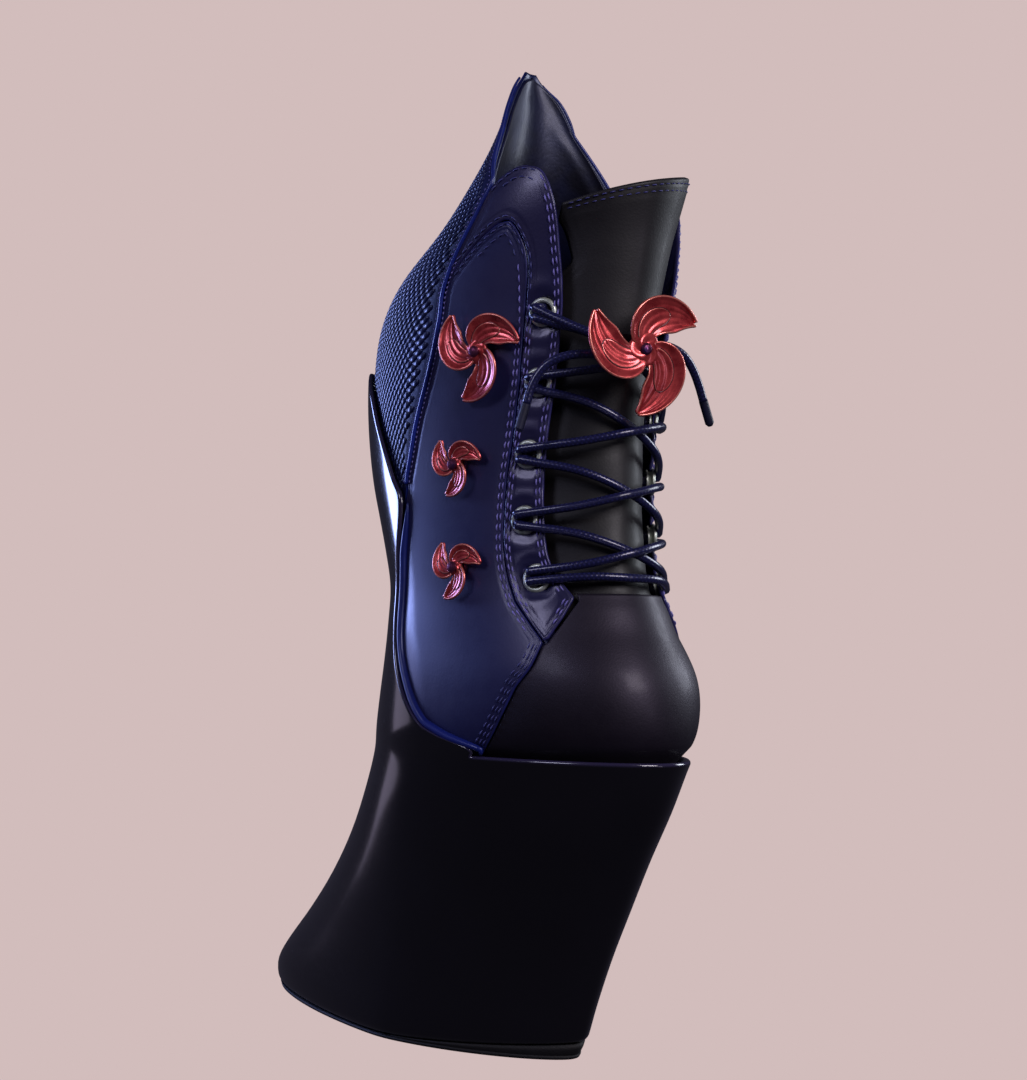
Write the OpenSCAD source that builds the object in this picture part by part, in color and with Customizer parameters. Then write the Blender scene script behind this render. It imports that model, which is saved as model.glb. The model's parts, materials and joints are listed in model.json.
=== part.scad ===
// Heelless platform ankle boot, right foot: laced front, pointed collar and four free-spinning rotors
// Toe along +X, outer side along -Y, up +Z; the origin is on the ground under the middle of the boot

/* [Leather] */
// Thickness of the outer leather panels
leather_t = 1.4; // [1.2:0.1:1.5]
// Thickness of the inner lining
lining_t = 1.3; // [1:0.1:1.4]
// Gap left between two panels that meet edge to edge, in degrees round the boot
seam_gap = 0.5; // [0.4:0.1:1]
// Angle by which the inner side of the lacing lies nearer to the toe than the outer side
lace_shift = 14; // [10:1:16]

/* [Platform] */
// Thickness of the moulded platform shell
shell_t = 2.4; // [2.2:0.1:2.4]
// Space between the leather and the outside of the shell
shell_out = 3.4; // [3.4:0.1:3.6]
// Thickness of the rubber tread
tread_t = 1.6; // [1.2:0.1:2]
// Rise of the shell's lower edge at the toe
toe_rise = 4.5; // [3:0.5:6]

/* [Lacing] */
// Lace diameter
lace_d = 3.4; // [3:0.1:3.4]
// Radius of an eyelet's hole
eyelet_r = 3.8; // [3.8:0.05:3.9]
// Radius of an eyelet's flange
eyelet_flange_r = 5.8; // [5.4:0.1:6]
// Distance between the two turns of lace in one eyelet
lace_pair = 3.9; // [3.8:0.05:4]

/* [Rotors] */
// Blade tip radius of the upper rotor
rotor_upper_r = 20; // [18:0.5:20.5]
// Blade tip radius of the middle and lower rotors
rotor_small_r = 13; // [11:0.5:13.5]
// Blade tip radius of the rotor on the lacing
rotor_lace_r = 25; // [23:0.5:25.5]
// Pitch of the blades
blade_pitch = 8; // [5:1:10]
// Rivet pin radius
pin_r = 1.2; // [1:0.1:1.4]
// Running clearance between pin and rotor
pin_clear = 0.05; // [0.02:0.01:0.09]

/* [Hidden] */
$fn = 48;
navy = "#1b1c42";
royal = "#20307a";
black = "#120f18";
glossy = "#242034";
steel = "#c9ccd2";
enamel = "#b44144";
tan_board = "#b89a70";

// Outer leather surface by height: z, rear x, front x, widest x, half width, rear and front roundness
UPPER = [
    [105, -33, 126, 38, 38, 1.8, 2], [118, -29, 133, 42, 41.8, 1.8, 2], [130, -26, 138, 44, 46, 1.8, 2.2],
    [150, -20, 137, 45, 47, 1.8, 2.3], [170, -13, 128, 38, 45.5, 1.8, 2.1], [190, -10, 120, 33, 43, 1.8, 2],
    [210, -17, 118, 30, 42.5, 1.8, 2], [240, -26, 118, 27, 43, 1.9, 2], [270, -28, 121, 28, 45, 1.95, 2],
    [295, -25.5, 126, 34, 46, 2, 2], [310, -20, 129, 44, 46.5, 2, 2], [322, -7, 131.5, 54, 46.5, 2, 2],
    [335, 20, 134, 68, 46, 2, 2], [350, 38, 136, 80, 43.5, 2, 2], [370, 49, 138, 88, 36, 2, 2],
    [390, 53, 138, 85, 26, 2, 2], [412, 55.5, 138, 76, 12, 2, 2]];
// The same for the outside of the platform, from the ground to its rim
PLATFORM = [
    [0, -125, 83, 0, 38, 1.5, 1.5], [10, -128, 87.5, 2, 38.5, 1.5, 1.5], [20, -120, 91, 4, 38, 1.55, 1.55],
    [40, -97, 99.5, 10, 38.5, 1.6, 1.6], [60, -75, 109, 16, 39.5, 1.7, 1.7],
    [80, -57, 119, 22, 41, 1.75, 1.75],
    [100, -42.5, 130, 28, 43, 1.8, 1.8], [120, -32.2, 138, 38, 46, 1.8, 1.95]];
SHELL = concat(PLATFORM, [for (z = [130:15:310]) grown(UPPER, z, shell_out)]);
// Throat edge of the lacing: height and angle from the toe, on the outer side
THROAT = [[181, 34], [197, 41], [221, 42], [248, 40], [268, 38], [298, 39], [321, 45], [336, 52], [348, 61]];
// Inner edge of the eyestay, which the quarter meets
EYESTAY_BACK = [[165, 49], [171, 52], [181, 55], [200, 57], [223, 55.5], [250, 52], [268, 50.5], [290, 51],
    [308, 53], [319, 57], [328, 65], [330, 70]];
// Front edge of the quarter, from the platform up to the eyestay
QUARTER_FRONT = concat([[112, 76], [123, 71], [147, 62], [156, 55]], EYESTAY_BACK);
// Rear edge of the quarter: under the spine of the platform, and above it where the back panel starts
QUARTER_REAR = [[112, 130], [150, 130], [180, 127], [200, 117], [212, 107], [220, 99], [225, 94], [234, 90.5],
    [254, 86], [277, 81], [297, 80], [312, 81.5], [322, 79], [330, 71]];
// Edge of the back panel and of the collar's spire
BACK_EDGE = [[214, 112], [220, 101], [225, 94], [234, 90.5], [254, 86], [277, 81], [297, 80], [309, 82.5],
    [325, 84], [340, 85.5], [349, 87], [360, 99], [371, 109], [386, 121], [394, 128], [401, 138], [412, 165]];
// Half angle of the heel spine, measured from the back
SPINE = [[123, 108], [129, 94], [142, 79], [158, 71], [175, 71], [200, 77], [225, 87], [234, 82], [257, 70],
    [275, 58], [286, 44]];
// Height of the lining's rim by angle from the toe
COLLAR_RIM = [[56, 338], [61, 345], [70, 350], [78, 350], [85, 347], [98, 358], [109, 370], [121, 385],
    [138, 399], [153, 406], [180, 410]];
// Top line of the insole in side view
RAMP = [[134, 111], [95, 113], [72, 120], [52, 140], [36, 170], [22, 198], [8, 214], [-10, 220], [-34, 222]];
// Eyelet rows from the bottom: angle from the toe and height
EYELETS_LATERAL = [[-46, 190], [-49, 213], [-47, 239], [-44, 267], [-45, 294]];
EYELETS_MEDIAL = [[29, 188], [30, 208], [30, 231], [30, 255], [30, 282]];

// Rotor centres on the leather, and the compass and climb angles of their pins
AT_UPPER = [[72.1, -40.5, 281], -76, -5];
AT_MIDDLE = [[58.2, -40.3, 237], -80, -2];
AT_LOWER = [[58.8, -40.6, 195], -81, 4];
AT_LACE = [[120.5, -8.5, 278.5], -20, -8];

// Lace lock: size across, through and up, and its distance from the leather
lock_size = [15, 6, 11];
lock_lift = 5.6;
// Lace ends from the lock to the tip, as lengths of the boot's axes
END_LEFT = [[125.6, -18.3, 274.6], [124.1, -22.4, 274.6], [121.8, -27.5, 274.6], [118.4, -32.5, 274.4],
    [114, -36.8, 273.4], [109.6, -40, 271], [106, -42.2, 266.8], [103.6, -43.6, 261.6], [102, -44.4, 256]];
END_RIGHT = [[131.4, -4.5, 280], [132.9, -0.2, 280], [134, 4, 279.3], [134.6, 8.3, 277.6],
    [134.6, 12.4, 274.8], [134, 16.3, 271], [133.2, 19.9, 266.4], [132.4, 23.2, 261.2]];
aglet_len = 11;

function clamp01(t) = max(0, min(1, t));
function segment(T, t, k = 0) = k >= len(T) - 2 || t < T[k + 1][0] ? k : segment(T, t, k + 1);
function slope(T, k) = let (a = max(k - 1, 0), b = min(k + 1, len(T) - 1))
    (T[b] - T[a]) / (T[b][0] - T[a][0]);
// Smooth curve through the rows of a table, read at its first column
function spline(T, t) = let (k = segment(T, t), h = T[k + 1][0] - T[k][0], s = clamp01((t - T[k][0]) / h))
    (2 * pow(s, 3) - 3 * s * s + 1) * T[k] + (pow(s, 3) - 2 * s * s + s) * h * slope(T, k)
    + (3 * s * s - 2 * pow(s, 3)) * T[k + 1] + (pow(s, 3) - s * s) * h * slope(T, k + 1);
function grown(T, z, d) = spline(T, z) + d * [0, -1, 1, 0, 1, 0, 0];
function rounded(c, n) = sign(c) * pow(abs(c), 2 / n);
// Point of a level outline at angle u from the toe, counted towards the inner side
function on_ring(p, u) = let (c = cos(u), n = c < 0 ? p[5] : p[6])
    [p[3] + (c < 0 ? p[3] - p[1] : p[2] - p[3]) * rounded(c, n), p[4] * rounded(sin(u), n), p[0]];
function unit(v) = v / norm(v);
// Outward direction of a surface table
function facing(T, u, z) = let (p = spline(T, z))
    unit(cross(on_ring(p, u + 1) - on_ring(p, u - 1),
        on_ring(spline(T, z + 1), u) - on_ring(spline(T, z - 1), u)));
// Point at angle u and height z, lifted by d from the surface
function at(T, u, z, d = 0) = on_ring(spline(T, z), u) + (d == 0 ? [0, 0, 0] : d * facing(T, u, z));
// Share of the lacing's shift at an angle and a height: it ends at the collar
function shifted(u, z) = lace_shift * clamp01((90 - u) / 50) * clamp01((335 - z) / 30);
// Angle on the given side: the inner side's lacing lies nearer to the toe
function turned(side, u, z) = side * (u - (side > 0 ? shifted(u, z) : 0));
function edge(T, z) = spline(T, z)[1];
function mix(a, b, s) = a + (b - a) * s;
function steps(n) = [for (i = [0:n]) i / n];

// Faces of a closed sheet: outer grid, inner grid and the walls round every cell that keep() lets through
function sheet_faces(n, m, wrap, keep) = let (
    N = n * m, cols = wrap ? n : n - 1,
    has = function (i, j) j >= 0 && j < m - 1 && (wrap || (i >= 0 && i < cols)) && keep((i + n) % n, j))
    [for (j = [0:m - 2]) for (i = [0:cols - 1]) if (has(i, j))
        let (a = j * n + i, b = j * n + (i + 1) % n, c = b + n, d = a + n) each concat(
            [[a, d, c], [a, c, b], [a + N, c + N, d + N], [a + N, b + N, c + N]],
            has(i, j - 1) ? [] : [[a, b, b + N], [a, b + N, a + N]],
            has(i, j + 1) ? [] : [[c, d, d + N], [c, d + N, c + N]],
            has(i - 1, j) ? [] : [[d, a, a + N], [d, a + N, d + N]],
            has(i + 1, j) ? [] : [[b, c, c + N], [b, c + N, b + N]])];

// Closed sheet on a surface table from a grid of [angle, height], between two distances from the surface
module sheet(T, G, outer = 0, inner = -leather_t, wrap = false, keep = function (i, j) true) {
    polyhedron(
        points = concat([for (row = G) for (q = row) at(T, q[0], q[1], outer + (len(q) > 2 ? q[2] : 0))],
            [for (row = G) for (q = row) at(T, q[0], q[1], inner + (len(q) > 2 ? q[2] : 0))]),
        faces = sheet_faces(len(G[0]), len(G), wrap, keep));
}

// Solid through a stack of rings, closed at both ends
module stack(rings) {
    n = len(rings[0]);
    m = len(rings);
    polyhedron(
        points = [for (r = rings) each r],
        faces = concat(
            [[for (i = [0:n - 1]) i]], [[for (i = [0:n - 1]) m * n - 1 - i]],
            [for (j = [0:m - 2]) for (i = [0:n - 1]) let (a = j * n + i, b = j * n + (i + 1) % n)
                each [[a, a + n, b + n], [a, b + n, b]]]));
}

// Frames carried along a route without twisting
function ahead(R, k) = let (a = min(k, len(R) - 2)) unit(R[a + 1] - R[a]);
function tangent(R, k) = unit(ahead(R, k) + ahead(R, max(k - 1, 0)));
function square_to(v, t) = unit(v - (v * t) * t);
function carried(R, k = 0, n = [0.31, 0.27, 0.91]) = k >= len(R) ? []
    : let (v = square_to(n, tangent(R, k))) concat([v], carried(R, k + 1, v));

// Round cord along a route
module cord(R, r, sides = 8) {
    N = carried(R);
    stack([for (k = [0:len(R) - 1]) let (t = tangent(R, k), n = N[k], b = cross(t, n))
        [for (i = [0:sides - 1]) R[k] + r * (cos(360 * i / sides) * n + sin(360 * i / sides) * b)]]);
}

// Puts children at a point with +Z along compass and climb angles
module aimed(place) {
    translate(place[0]) rotate([0, 90 - place[2], place[1]]) children();
}
function aim_of(u, z) = let (n = facing(UPPER, u, z)) [at(UPPER, u, z), atan2(n[1], n[0]), asin(n[2])];

// ---- platform ----
shell_cols = 60;
tab_first = 12;
// How far the sole stands back from the shell's outside
sole_inset = 1;
function shell_foot(u) = tread_t + 0.4 + toe_rise * pow(max(cos(u), 0), 2);
function shell_rim(u) = 121 - 2 * cos(u);
// How far the two lowest rings of the shell turn in
foot_round = [-1.4, -0.4];
shell_levels = [0, 0.008, 0.03, 0.1, 0.22, 0.36, 0.5, 0.64, 0.78, 0.9, 1];
spine_levels = [123.5, 130, 140, 150, 162, 176, 190, 205, 218, 226, 236, 248, 260, 273, 286];
function spine_half(z) = edge(SPINE, z);
function shell_point(i, j) = let (u = 360 * i / shell_cols, k = len(shell_levels))
    j < k ? [u, mix(shell_foot(u), shell_rim(u), shell_levels[j]), j < 2 ? foot_round[j] : 0]
    : let (z = spine_levels[j - k], s = (u - 180) / (180 - 360 * tab_first / shell_cols),
        t = max(-1, min(1, s)))
        [180 + t * spine_half(z), z + (j == k + len(spine_levels) - 1 ? 4 * cos(90 * t) : 0)];

module platform_shell() {
    color(glossy) sheet(SHELL,
        [for (j = [0:len(shell_levels) + len(spine_levels) - 1])
            [for (i = [0:shell_cols - 1]) shell_point(i, j)]],
        0, -shell_t, true,
        function (i, j) j < len(shell_levels) - 1 || (i >= tab_first && i < shell_cols - tab_first));
}

module ramp_band(low, high, half_width) {
    lift = [0.65, 0.85];
    rotate([90, 0, 0]) linear_extrude(2 * half_width, center = true)
        polygon(concat([for (p = RAMP) p + low * lift],
            [for (i = [len(RAMP) - 1:-1:0]) RAMP[i] + high * lift]));
}

// Inside of the boot below the lining, drawn in by the given distance
module inner_body(shrink, top = 232) {
    stack(concat(
        [for (z = [9, 20, 40, 60, 80, 98, 108]) level_ring(grown(SHELL, z, -shell_t - shrink))],
        [for (z = [114, 122, 132, 145, 160, 175, 190, 205, 218, top])
            level_ring(grown(UPPER, z, -leather_t - 2.6 - shrink))]));
}
function level_ring(p) = [for (i = [0:39]) on_ring(p, 9 * i)];

// Space between the core and the shell, and between the boards and the shell
core_room = 2.4;
board_room = 1.1;
module platform_core() {
    color("dimgray") difference() {
        intersection() {
            inner_body(core_room);
            rotate([90, 0, 0]) linear_extrude(120, center = true)
                polygon(concat([for (p = RAMP) p], [[-140, 222], [-140, 0], [140, 0], [140, 111]]));
        }
        ramp_band(-3, 1, 9.3);
    }
}

module shank() {
    color(steel) intersection() {
        ramp_band(-2.4, -0.5, 9);
        translate([-12, -20, 60]) cube([112, 40, 200]);
    }
}

module insole_board() {
    color(tan_board) intersection() {
        inner_body(board_room);
        ramp_band(0.1, 2.1, 60);
    }
}

module sock_liner() {
    color(black) intersection() {
        inner_body(board_room);
        ramp_band(2.2, 5.2, 60);
    }
}

module outsole() {
    color(black) linear_extrude(tread_t)
        polygon([for (u = [0:6:354]) let (p = on_ring(grown(PLATFORM, 0, -sole_inset), u)) [p[0], p[1]]]);
}

module sole_wedge() {
    low = [for (u = [0:6:354]) on_ring(grown(PLATFORM, 0, -sole_inset), u)];
    high = [for (u = [0:6:354]) on_ring(grown(PLATFORM, shell_foot(u) - 0.15, -sole_inset), u)];
    floor = [for (u = [0:6:354]) on_ring(grown(PLATFORM, 0, -8), u)];
    color(black) stack([[for (p = low) [p[0], p[1], tread_t]], high,
        [for (p = floor) [p[0], p[1], tread_t + 0.4]]]);
}

// ---- upper ----
// How far the leather is drawn in below the platform's rim
function tuck(z) = -2.4 * clamp01((125 - z) / 8);
// Depths of the stiffeners and of the lining under the outer surface
stiffener = [-leather_t - 0.3, -leather_t - 0.85];
lining = [-leather_t - 1.4, -leather_t - 1.4 - lining_t];

module vamp() {
    edge_at = function (side, z) turned(side, edge(QUARTER_FRONT, z) - seam_gap, z);
    low = function (side, z) z < 164 ? edge_at(side, z)
        : turned(side, mix(48.5, 33, clamp01((z - 164) / 17)) - seam_gap, z);
    color(black) sheet(UPPER, [for (z = [112, 116, 120, 125, 130, 136, 142, 149, 156, 164, 172, 181, 184])
        [for (s = steps(24)) [mix(low(-1, z), low(1, z), s), z, tuck(z)]]]);
}

module toe_puff() {
    color(tan_board) sheet(UPPER, [for (z = [126, 130, 136, 142, 149, 155])
        [for (s = steps(16)) [mix(-52, 42, s), z]]], stiffener[0], stiffener[1]);
}

module vamp_lining() {
    color("gainsboro") sheet(UPPER,
        [for (z = [126, 131, 137, 143, 150, 157, 164, 170]) [for (s = steps(18)) [mix(-62, 52, s), z]]],
        lining[0], lining[1]);
}

module quarter(side) {
    difference() {
        sheet(UPPER, [for (z = [112, 117, 125, 135, 147, 156, 164.5, 172, 181, 191, 202, 213.5, 220, 226,
                236, 254, 277, 297, 309, 319, 325, 329.5])
            let (a = edge(QUARTER_FRONT, z) + seam_gap, b = max(edge(QUARTER_REAR, z) - seam_gap, a + 0.4),
                m = (a + min(b, 100)) / 2)
            [for (t = steps(16)) let (s = side > 0 ? t : 1 - t)
                [turned(side, s < 0.5 ? mix(a, m, 2 * s) : mix(m, b, 2 * s - 1), z), z, tuck(z)]]]);
        if (side < 0)
            for (place = [AT_UPPER, AT_MIDDLE, AT_LOWER])
                aimed(place) translate([0, 0, -6]) cylinder(h = 9, r = pin_r + 0.15);
    }
}

module quarter_lateral() color(royal) quarter(-1);
module quarter_medial() color(royal) quarter(1);

// Stations of the eyestay from the back of the collar to its lower tip: outer edge, inner edge
EYESTAY = [
    [[84.5, 337], [82.5, 313]], [[84.5, 346], [80.5, 318]], [[78, 351], [76, 326.5]], [[70, 351], [70, 331]],
    [[61, 347], [64, 328.5]], [[52, 336], [56.5, 319.5]], [[45, 321], [52.5, 308]], [[39, 298], [50.5, 290]],
    [[38, 268], [50, 268]], [[40, 248], [51.5, 250]], [[42, 221], [55, 223]], [[41, 197], [56.5, 200]],
    [[34, 182], [54.5, 181]], [[40, 174], [51.5, 171]], [[46.5, 166.5], [48.5, 165.5]]];

module eyestay(side) {
    difference() {
        sheet(UPPER, [for (k = [0:len(EYESTAY) - 1]) let (q = EYESTAY[side > 0 ? k : len(EYESTAY) - 1 - k])
            [for (s = steps(4)) let (p = mix(q[1], q[0], s)) [turned(side, p[0], p[1]), p[1]]]]);
        for (e = side < 0 ? EYELETS_LATERAL : EYELETS_MEDIAL)
            aimed(aim_of(e[0], e[1])) translate([0, 0, -4]) cylinder(h = 8, r = eyelet_r + 0.6);
    }
}

module eyestay_lateral() color(navy) eyestay(-1);
module eyestay_medial() color(navy) eyestay(1);

// How much further back the spire's rim lies on the inner side, in degrees
function spire_cut(z) = 12 * clamp01((z - 349) / 15) * clamp01((402 - z) / 15);
module back_panel() {
    color(navy) sheet(UPPER, [for (z = [214, 220, 226, 236, 248, 262, 277, 290, 302, 314, 326, 338, 349,
            360, 371, 382, 392, 402, 412])
        let (a = edge(BACK_EDGE, z) + seam_gap)
            [for (s = steps(16)) [mix(a + spire_cut(z), 360 - a, s), z]]]);
}

module heel_counter() {
    color(tan_board) sheet(UPPER, [for (z = [130:10:270]) [for (s = steps(16))
        [mix(118, 242, s), z]]], stiffener[0], stiffener[1]);
}

module shaft_lining() {
    color("silver") sheet(UPPER, [for (s = steps(20)) [for (t = steps(32))
        let (u = mix(57, 303, t), z = mix(174, edge(COLLAR_RIM, u > 180 ? 360 - u : u), s))
        [u < 180 ? turned(1, u, z) + spire_cut(z) * clamp01((180 - u) / 60) : u, z]]],
        lining[0], lining[1]);
}

module piping(side) {
    cord([for (z = [232, 237, 245, 257, 270, 284, 297, 309, 322, 334, 345]) at(UPPER,
        turned(side, edge(BACK_EDGE, z), z), z, 1)], 0.9, 6);
}
module piping_lateral() color(royal) piping(-1);
module piping_medial() color(royal) piping(1);

// ---- tongue ----
tongue_t = 4.5;
function tongue_sink(u) = -leather_t - 0.3 - 4.6 * pow(clamp01(abs(u + 8) / 40), 1.5);
// Height where the tongue folds, its gap to the throat's edge in degrees, and how far its top leans out
flap_foot = 313.5;
flap_gap = 2.5;
flap_flare = 5;
module tongue_body() {
    color(black) sheet(UPPER, [for (z = [175, 190, 206, 222, 240, 258, 276, 294, 310.5]) [for (s = steps(14))
        let (u = mix(-52, 38, s)) [u, z, tongue_sink(u)]]], 0, -tongue_t);
}
function flap_top(u) = 346 + 0.22 * u;
module tongue_flap() {
    color(black) sheet(UPPER, [for (t = steps(5)) [for (s = steps(14))
        let (z = min(mix(flap_foot, 344, t), 336), a = flap_gap - edge(THROAT, z),
            b = turned(1, edge(THROAT, z), z) - flap_gap, u = mix(a, b, s))
            [u, mix(flap_foot, flap_top(u), t), tongue_sink(u) + flap_flare * t * t]]], 0, -tongue_t);
}

// ---- eyelets and laces ----
module eyelet() {
    rotate_extrude() polygon([[eyelet_r, -1.6], [eyelet_r + 0.45, -1.6], [eyelet_r + 0.45, 0.15],
        [eyelet_flange_r, 0.15], [eyelet_flange_r, 0.6], [eyelet_flange_r - 0.5, 0.95],
        [eyelet_r + 0.4, 0.95], [eyelet_r, 0.5]]);
}
module eyelets(row) for (e = row) aimed(aim_of(e[0], e[1])) eyelet();
module eyelets_lateral() color(steel) eyelets(EYELETS_LATERAL);
module eyelets_medial() color(steel) eyelets(EYELETS_MEDIAL);
module eyelet_washers() {
    color(steel) for (e = concat(EYELETS_LATERAL, EYELETS_MEDIAL)) aimed(aim_of(e[0], e[1]))
        translate([0, 0, -2.3]) difference() {
            cylinder(h = 0.6, r = eyelet_r + 1.1);
            translate([0, 0, -1]) cylinder(h = 3, r = eyelet_r + 0.02);
        }
}

// The lace's way through the eyelets: row, number from the bottom, and whether it leaves upwards or downwards
LACE_WAY = [[1, 4, 1], [2, 3, 1], [1, 2, 1], [2, 1, 1], [1, 0, 1], [2, 0, -1], [1, 1, -1], [2, 2, -1],
    [1, 3, -1], [2, 4, -1]];
// Height of each crossing above the leather, alternately under and over
CROSSING_LIFT = [3.2, 7, 3.2, 7, 2.9, 3.2, 7, 3.2, 7];
function heading(p) = [cos(p[2]) * cos(p[1]), cos(p[2]) * sin(p[1]), sin(p[2])];
function eyelet_at(w) = (w[0] == 1 ? EYELETS_LATERAL : EYELETS_MEDIAL)[w[1]];
// Points of the lace through one eyelet: over the flange, down, round and back up
function through(w) = let (e = eyelet_at(w), o = at(UPPER, e[0], e[1]), n = facing(UPPER, e[0], e[1]),
    side = w[0] == 1 ? 1 : -1, up = square_to([0, 0, 1], n), throat = side * cross(up, n) * -1,
    h = w[2] * lace_pair / 2 * up)
    [o + 2.8 * throat + 2.9 * n + h, o + 0.9 * n + h, o - 1.2 * n + h, o - 3.15 * n, o - 1.2 * n - h,
        o + 0.9 * n - h, o + 2.8 * throat + 2.9 * n - h];
// Points of the lace over the tongue: half of the crossing's extra height is lost towards the eyelets
function crossing(k) = let (a = eyelet_at(LACE_WAY[k]), b = eyelet_at(LACE_WAY[k + 1]))
    [for (s = [0.25, 0.5, 0.75]) at(UPPER, mix(a[0], b[0], s), mix(a[1], b[1], s),
        s == 0.5 ? CROSSING_LIFT[k] : mix(CROSSING_LIFT[0], CROSSING_LIFT[k], 0.4))];
function lock_point(across, up) = let (p = AT_LACE, n = heading(p), y = [-sin(p[1]), cos(p[1]), 0])
    p[0] + n * (lock_lift + lock_size[1] / 2) + across * y + up * cross(n, y);
lock_hole = lock_size[2] / 4;
LACE_ROUTE = concat(
    [lock_point(lock_size[0] / 2, lock_hole), lock_point(-lock_size[0] / 2 - 2, lock_hole)],
    [for (k = [0:9]) each concat(through(LACE_WAY[k]), k < 9 ? crossing(k) : [])],
    [lock_point(lock_size[0] / 2 + 2, -lock_hole), lock_point(-lock_size[0] / 2, -lock_hole)]);

module lace_crossed() color(navy) cord(LACE_ROUTE, lace_d / 2);
module lace_end_left() color(navy) cord(END_LEFT, lace_d / 2);
module lace_end_right() color(navy) cord(END_RIGHT, lace_d / 2);

module aglet(route) {
    tip = route[len(route) - 1];
    t = unit(tip - route[len(route) - 2]);
    translate(tip + 0.05 * t) rotate([0, acos(t[2]), atan2(t[1], t[0])])
        rotate_extrude() polygon([[0, 0], [lace_d / 2 + 0.1, 0], [lace_d / 2 + 0.1, aglet_len - 1.2],
            [lace_d / 2 - 0.7, aglet_len], [0, aglet_len]]);
}
module aglet_left() color(steel) aglet(END_LEFT);
module aglet_right() color(steel) aglet(END_RIGHT);

module lace_lock() {
    color(steel) aimed(AT_LACE) translate([0, 0, lock_lift]) difference() {
        translate([-lock_size[2] / 2, -lock_size[0] / 2, 0]) cube([lock_size[2], lock_size[0], lock_size[1]]);
        for (s = [-1, 1])
            translate([s * lock_hole, 0, lock_size[1] / 2]) rotate([90, 0, 0])
                cylinder(h = lock_size[0] + 2, r = lace_d / 2 + 0.1, center = true);
    }
}

// ---- rotors ----
hub_h = 3.2;
// Blade outline: a broad leaf whose middle line sweeps back as it leaves the hub
blade_turn = -78;
blade_lean = -40;
blade_wide = 0.36;
function leaf_side(r, s, side) = let (a = blade_turn * pow(s, 1.1), b = a + blade_lean * s,
    w = side * blade_wide * r * pow(sin(180 * pow(0.1 + 0.9 * s, 0.95)), 0.75))
    (0.12 + 0.88 * s) * r * [cos(a), sin(a)] + w * [-sin(b), cos(b)];
function leaf(r) = concat([for (s = steps(12)) leaf_side(r, s, 1)],
    [for (s = steps(12)) leaf_side(r, 1 - s, -1)]);

module rotor(r, base, tip) {
    hub_r = 0.19 * r;
    translate([0, 0, base]) difference() {
        union() {
            cylinder(h = hub_h, r = hub_r);
            for (a = [0, 120, 240]) rotate([0, 0, a + tip - blade_turn / 2])
                translate([0, 0, hub_h / 2 + 0.2]) rotate([blade_pitch, 0, 0]) rotate([0, 0, -blade_turn / 2])
                    linear_extrude(1, center = true) polygon(leaf(r));
        }
        translate([0, 0, -5]) cylinder(h = 20, r = pin_r + pin_clear);
    }
}

// Rivet pin with a plate below the leather and a domed head above the rotor
module pin(bottom, base) {
    top = base + hub_h + 0.15;
    rotate_extrude() polygon([[0, bottom], [3.4, bottom], [3.4, bottom + 0.7], [pin_r, bottom + 0.7],
        [pin_r, top], [2.3, top], [2.2, top + 0.7], [1.4, top + 1.3], [0, top + 1.5]]);
}
module washer(low, high) {
    translate([0, 0, low]) difference() {
        cylinder(h = high - low, r = 4);
        translate([0, 0, -1]) cylinder(h = 5, r = pin_r + 0.1);
    }
}

// Height of the washers over the leather
washer_low = 0.6;
// Angle at which the first blade's tip rests on the side's rotors
side_tip = 94;
blade_room_small = 2;
blade_room_upper = 2.9;
lock_top = lock_lift + lock_size[1];
module rotor_upper() color(enamel) aimed(AT_UPPER) rotor(rotor_upper_r, blade_room_upper, side_tip);
module rotor_middle() color(enamel) aimed(AT_MIDDLE) rotor(rotor_small_r, blade_room_small, side_tip);
module rotor_lower() color(enamel) aimed(AT_LOWER) rotor(rotor_small_r, blade_room_small, side_tip);
module rotor_lace() color(enamel) aimed(AT_LACE) rotor(rotor_lace_r, lock_top + 2.6, 116);
module pin_upper() color(steel) aimed(AT_UPPER) pin(-2.3, blade_room_upper);
module pin_middle() color(steel) aimed(AT_MIDDLE) pin(-2.3, blade_room_small);
module pin_lower() color(steel) aimed(AT_LOWER) pin(-2.3, blade_room_small);
module pin_lace() color(steel) aimed(AT_LACE) pin(lock_top + 0.05, lock_top + 2.6);
module washer_upper() color(steel) aimed(AT_UPPER) washer(washer_low, blade_room_upper - 0.15);
module washer_middle() color(steel) aimed(AT_MIDDLE) washer(washer_low, blade_room_small - 0.15);
module washer_lower() color(steel) aimed(AT_LOWER) washer(washer_low, blade_room_small - 0.15);
module washer_lace() color(steel) aimed(AT_LACE) washer(lock_top + 0.8, lock_top + 2.45);

platform_shell();
platform_core();
outsole();
sole_wedge();
shank();
insole_board();
sock_liner();
toe_puff();
heel_counter();
vamp();
vamp_lining();
quarter_lateral();
quarter_medial();
eyestay_lateral();
eyestay_medial();
back_panel();
shaft_lining();
piping_lateral();
piping_medial();
tongue_body();
tongue_flap();
eyelets_lateral();
eyelets_medial();
eyelet_washers();
lace_crossed();
lace_end_left();
lace_end_right();
aglet_left();
aglet_right();
lace_lock();
rotor_upper();
rotor_middle();
rotor_lower();
rotor_lace();
pin_upper();
pin_middle();
pin_lower();
pin_lace();
washer_upper();
washer_middle();
washer_lower();
washer_lace();
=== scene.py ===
"""Looks of a heelless platform ankle boot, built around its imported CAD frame.

The boot's two surface tables give every leather panel, the platform moulding and the lining. A panel is a
closed sheet between two distances from a table, with rolled edges; seams, threads, laces and rotors follow
lines on the same tables. Lengths are worked out in millimetres and put into the meshes in metres.
"""

import json
import logging
import math
from dataclasses import dataclass
from enum import Enum
from typing import Callable, Sequence

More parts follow.
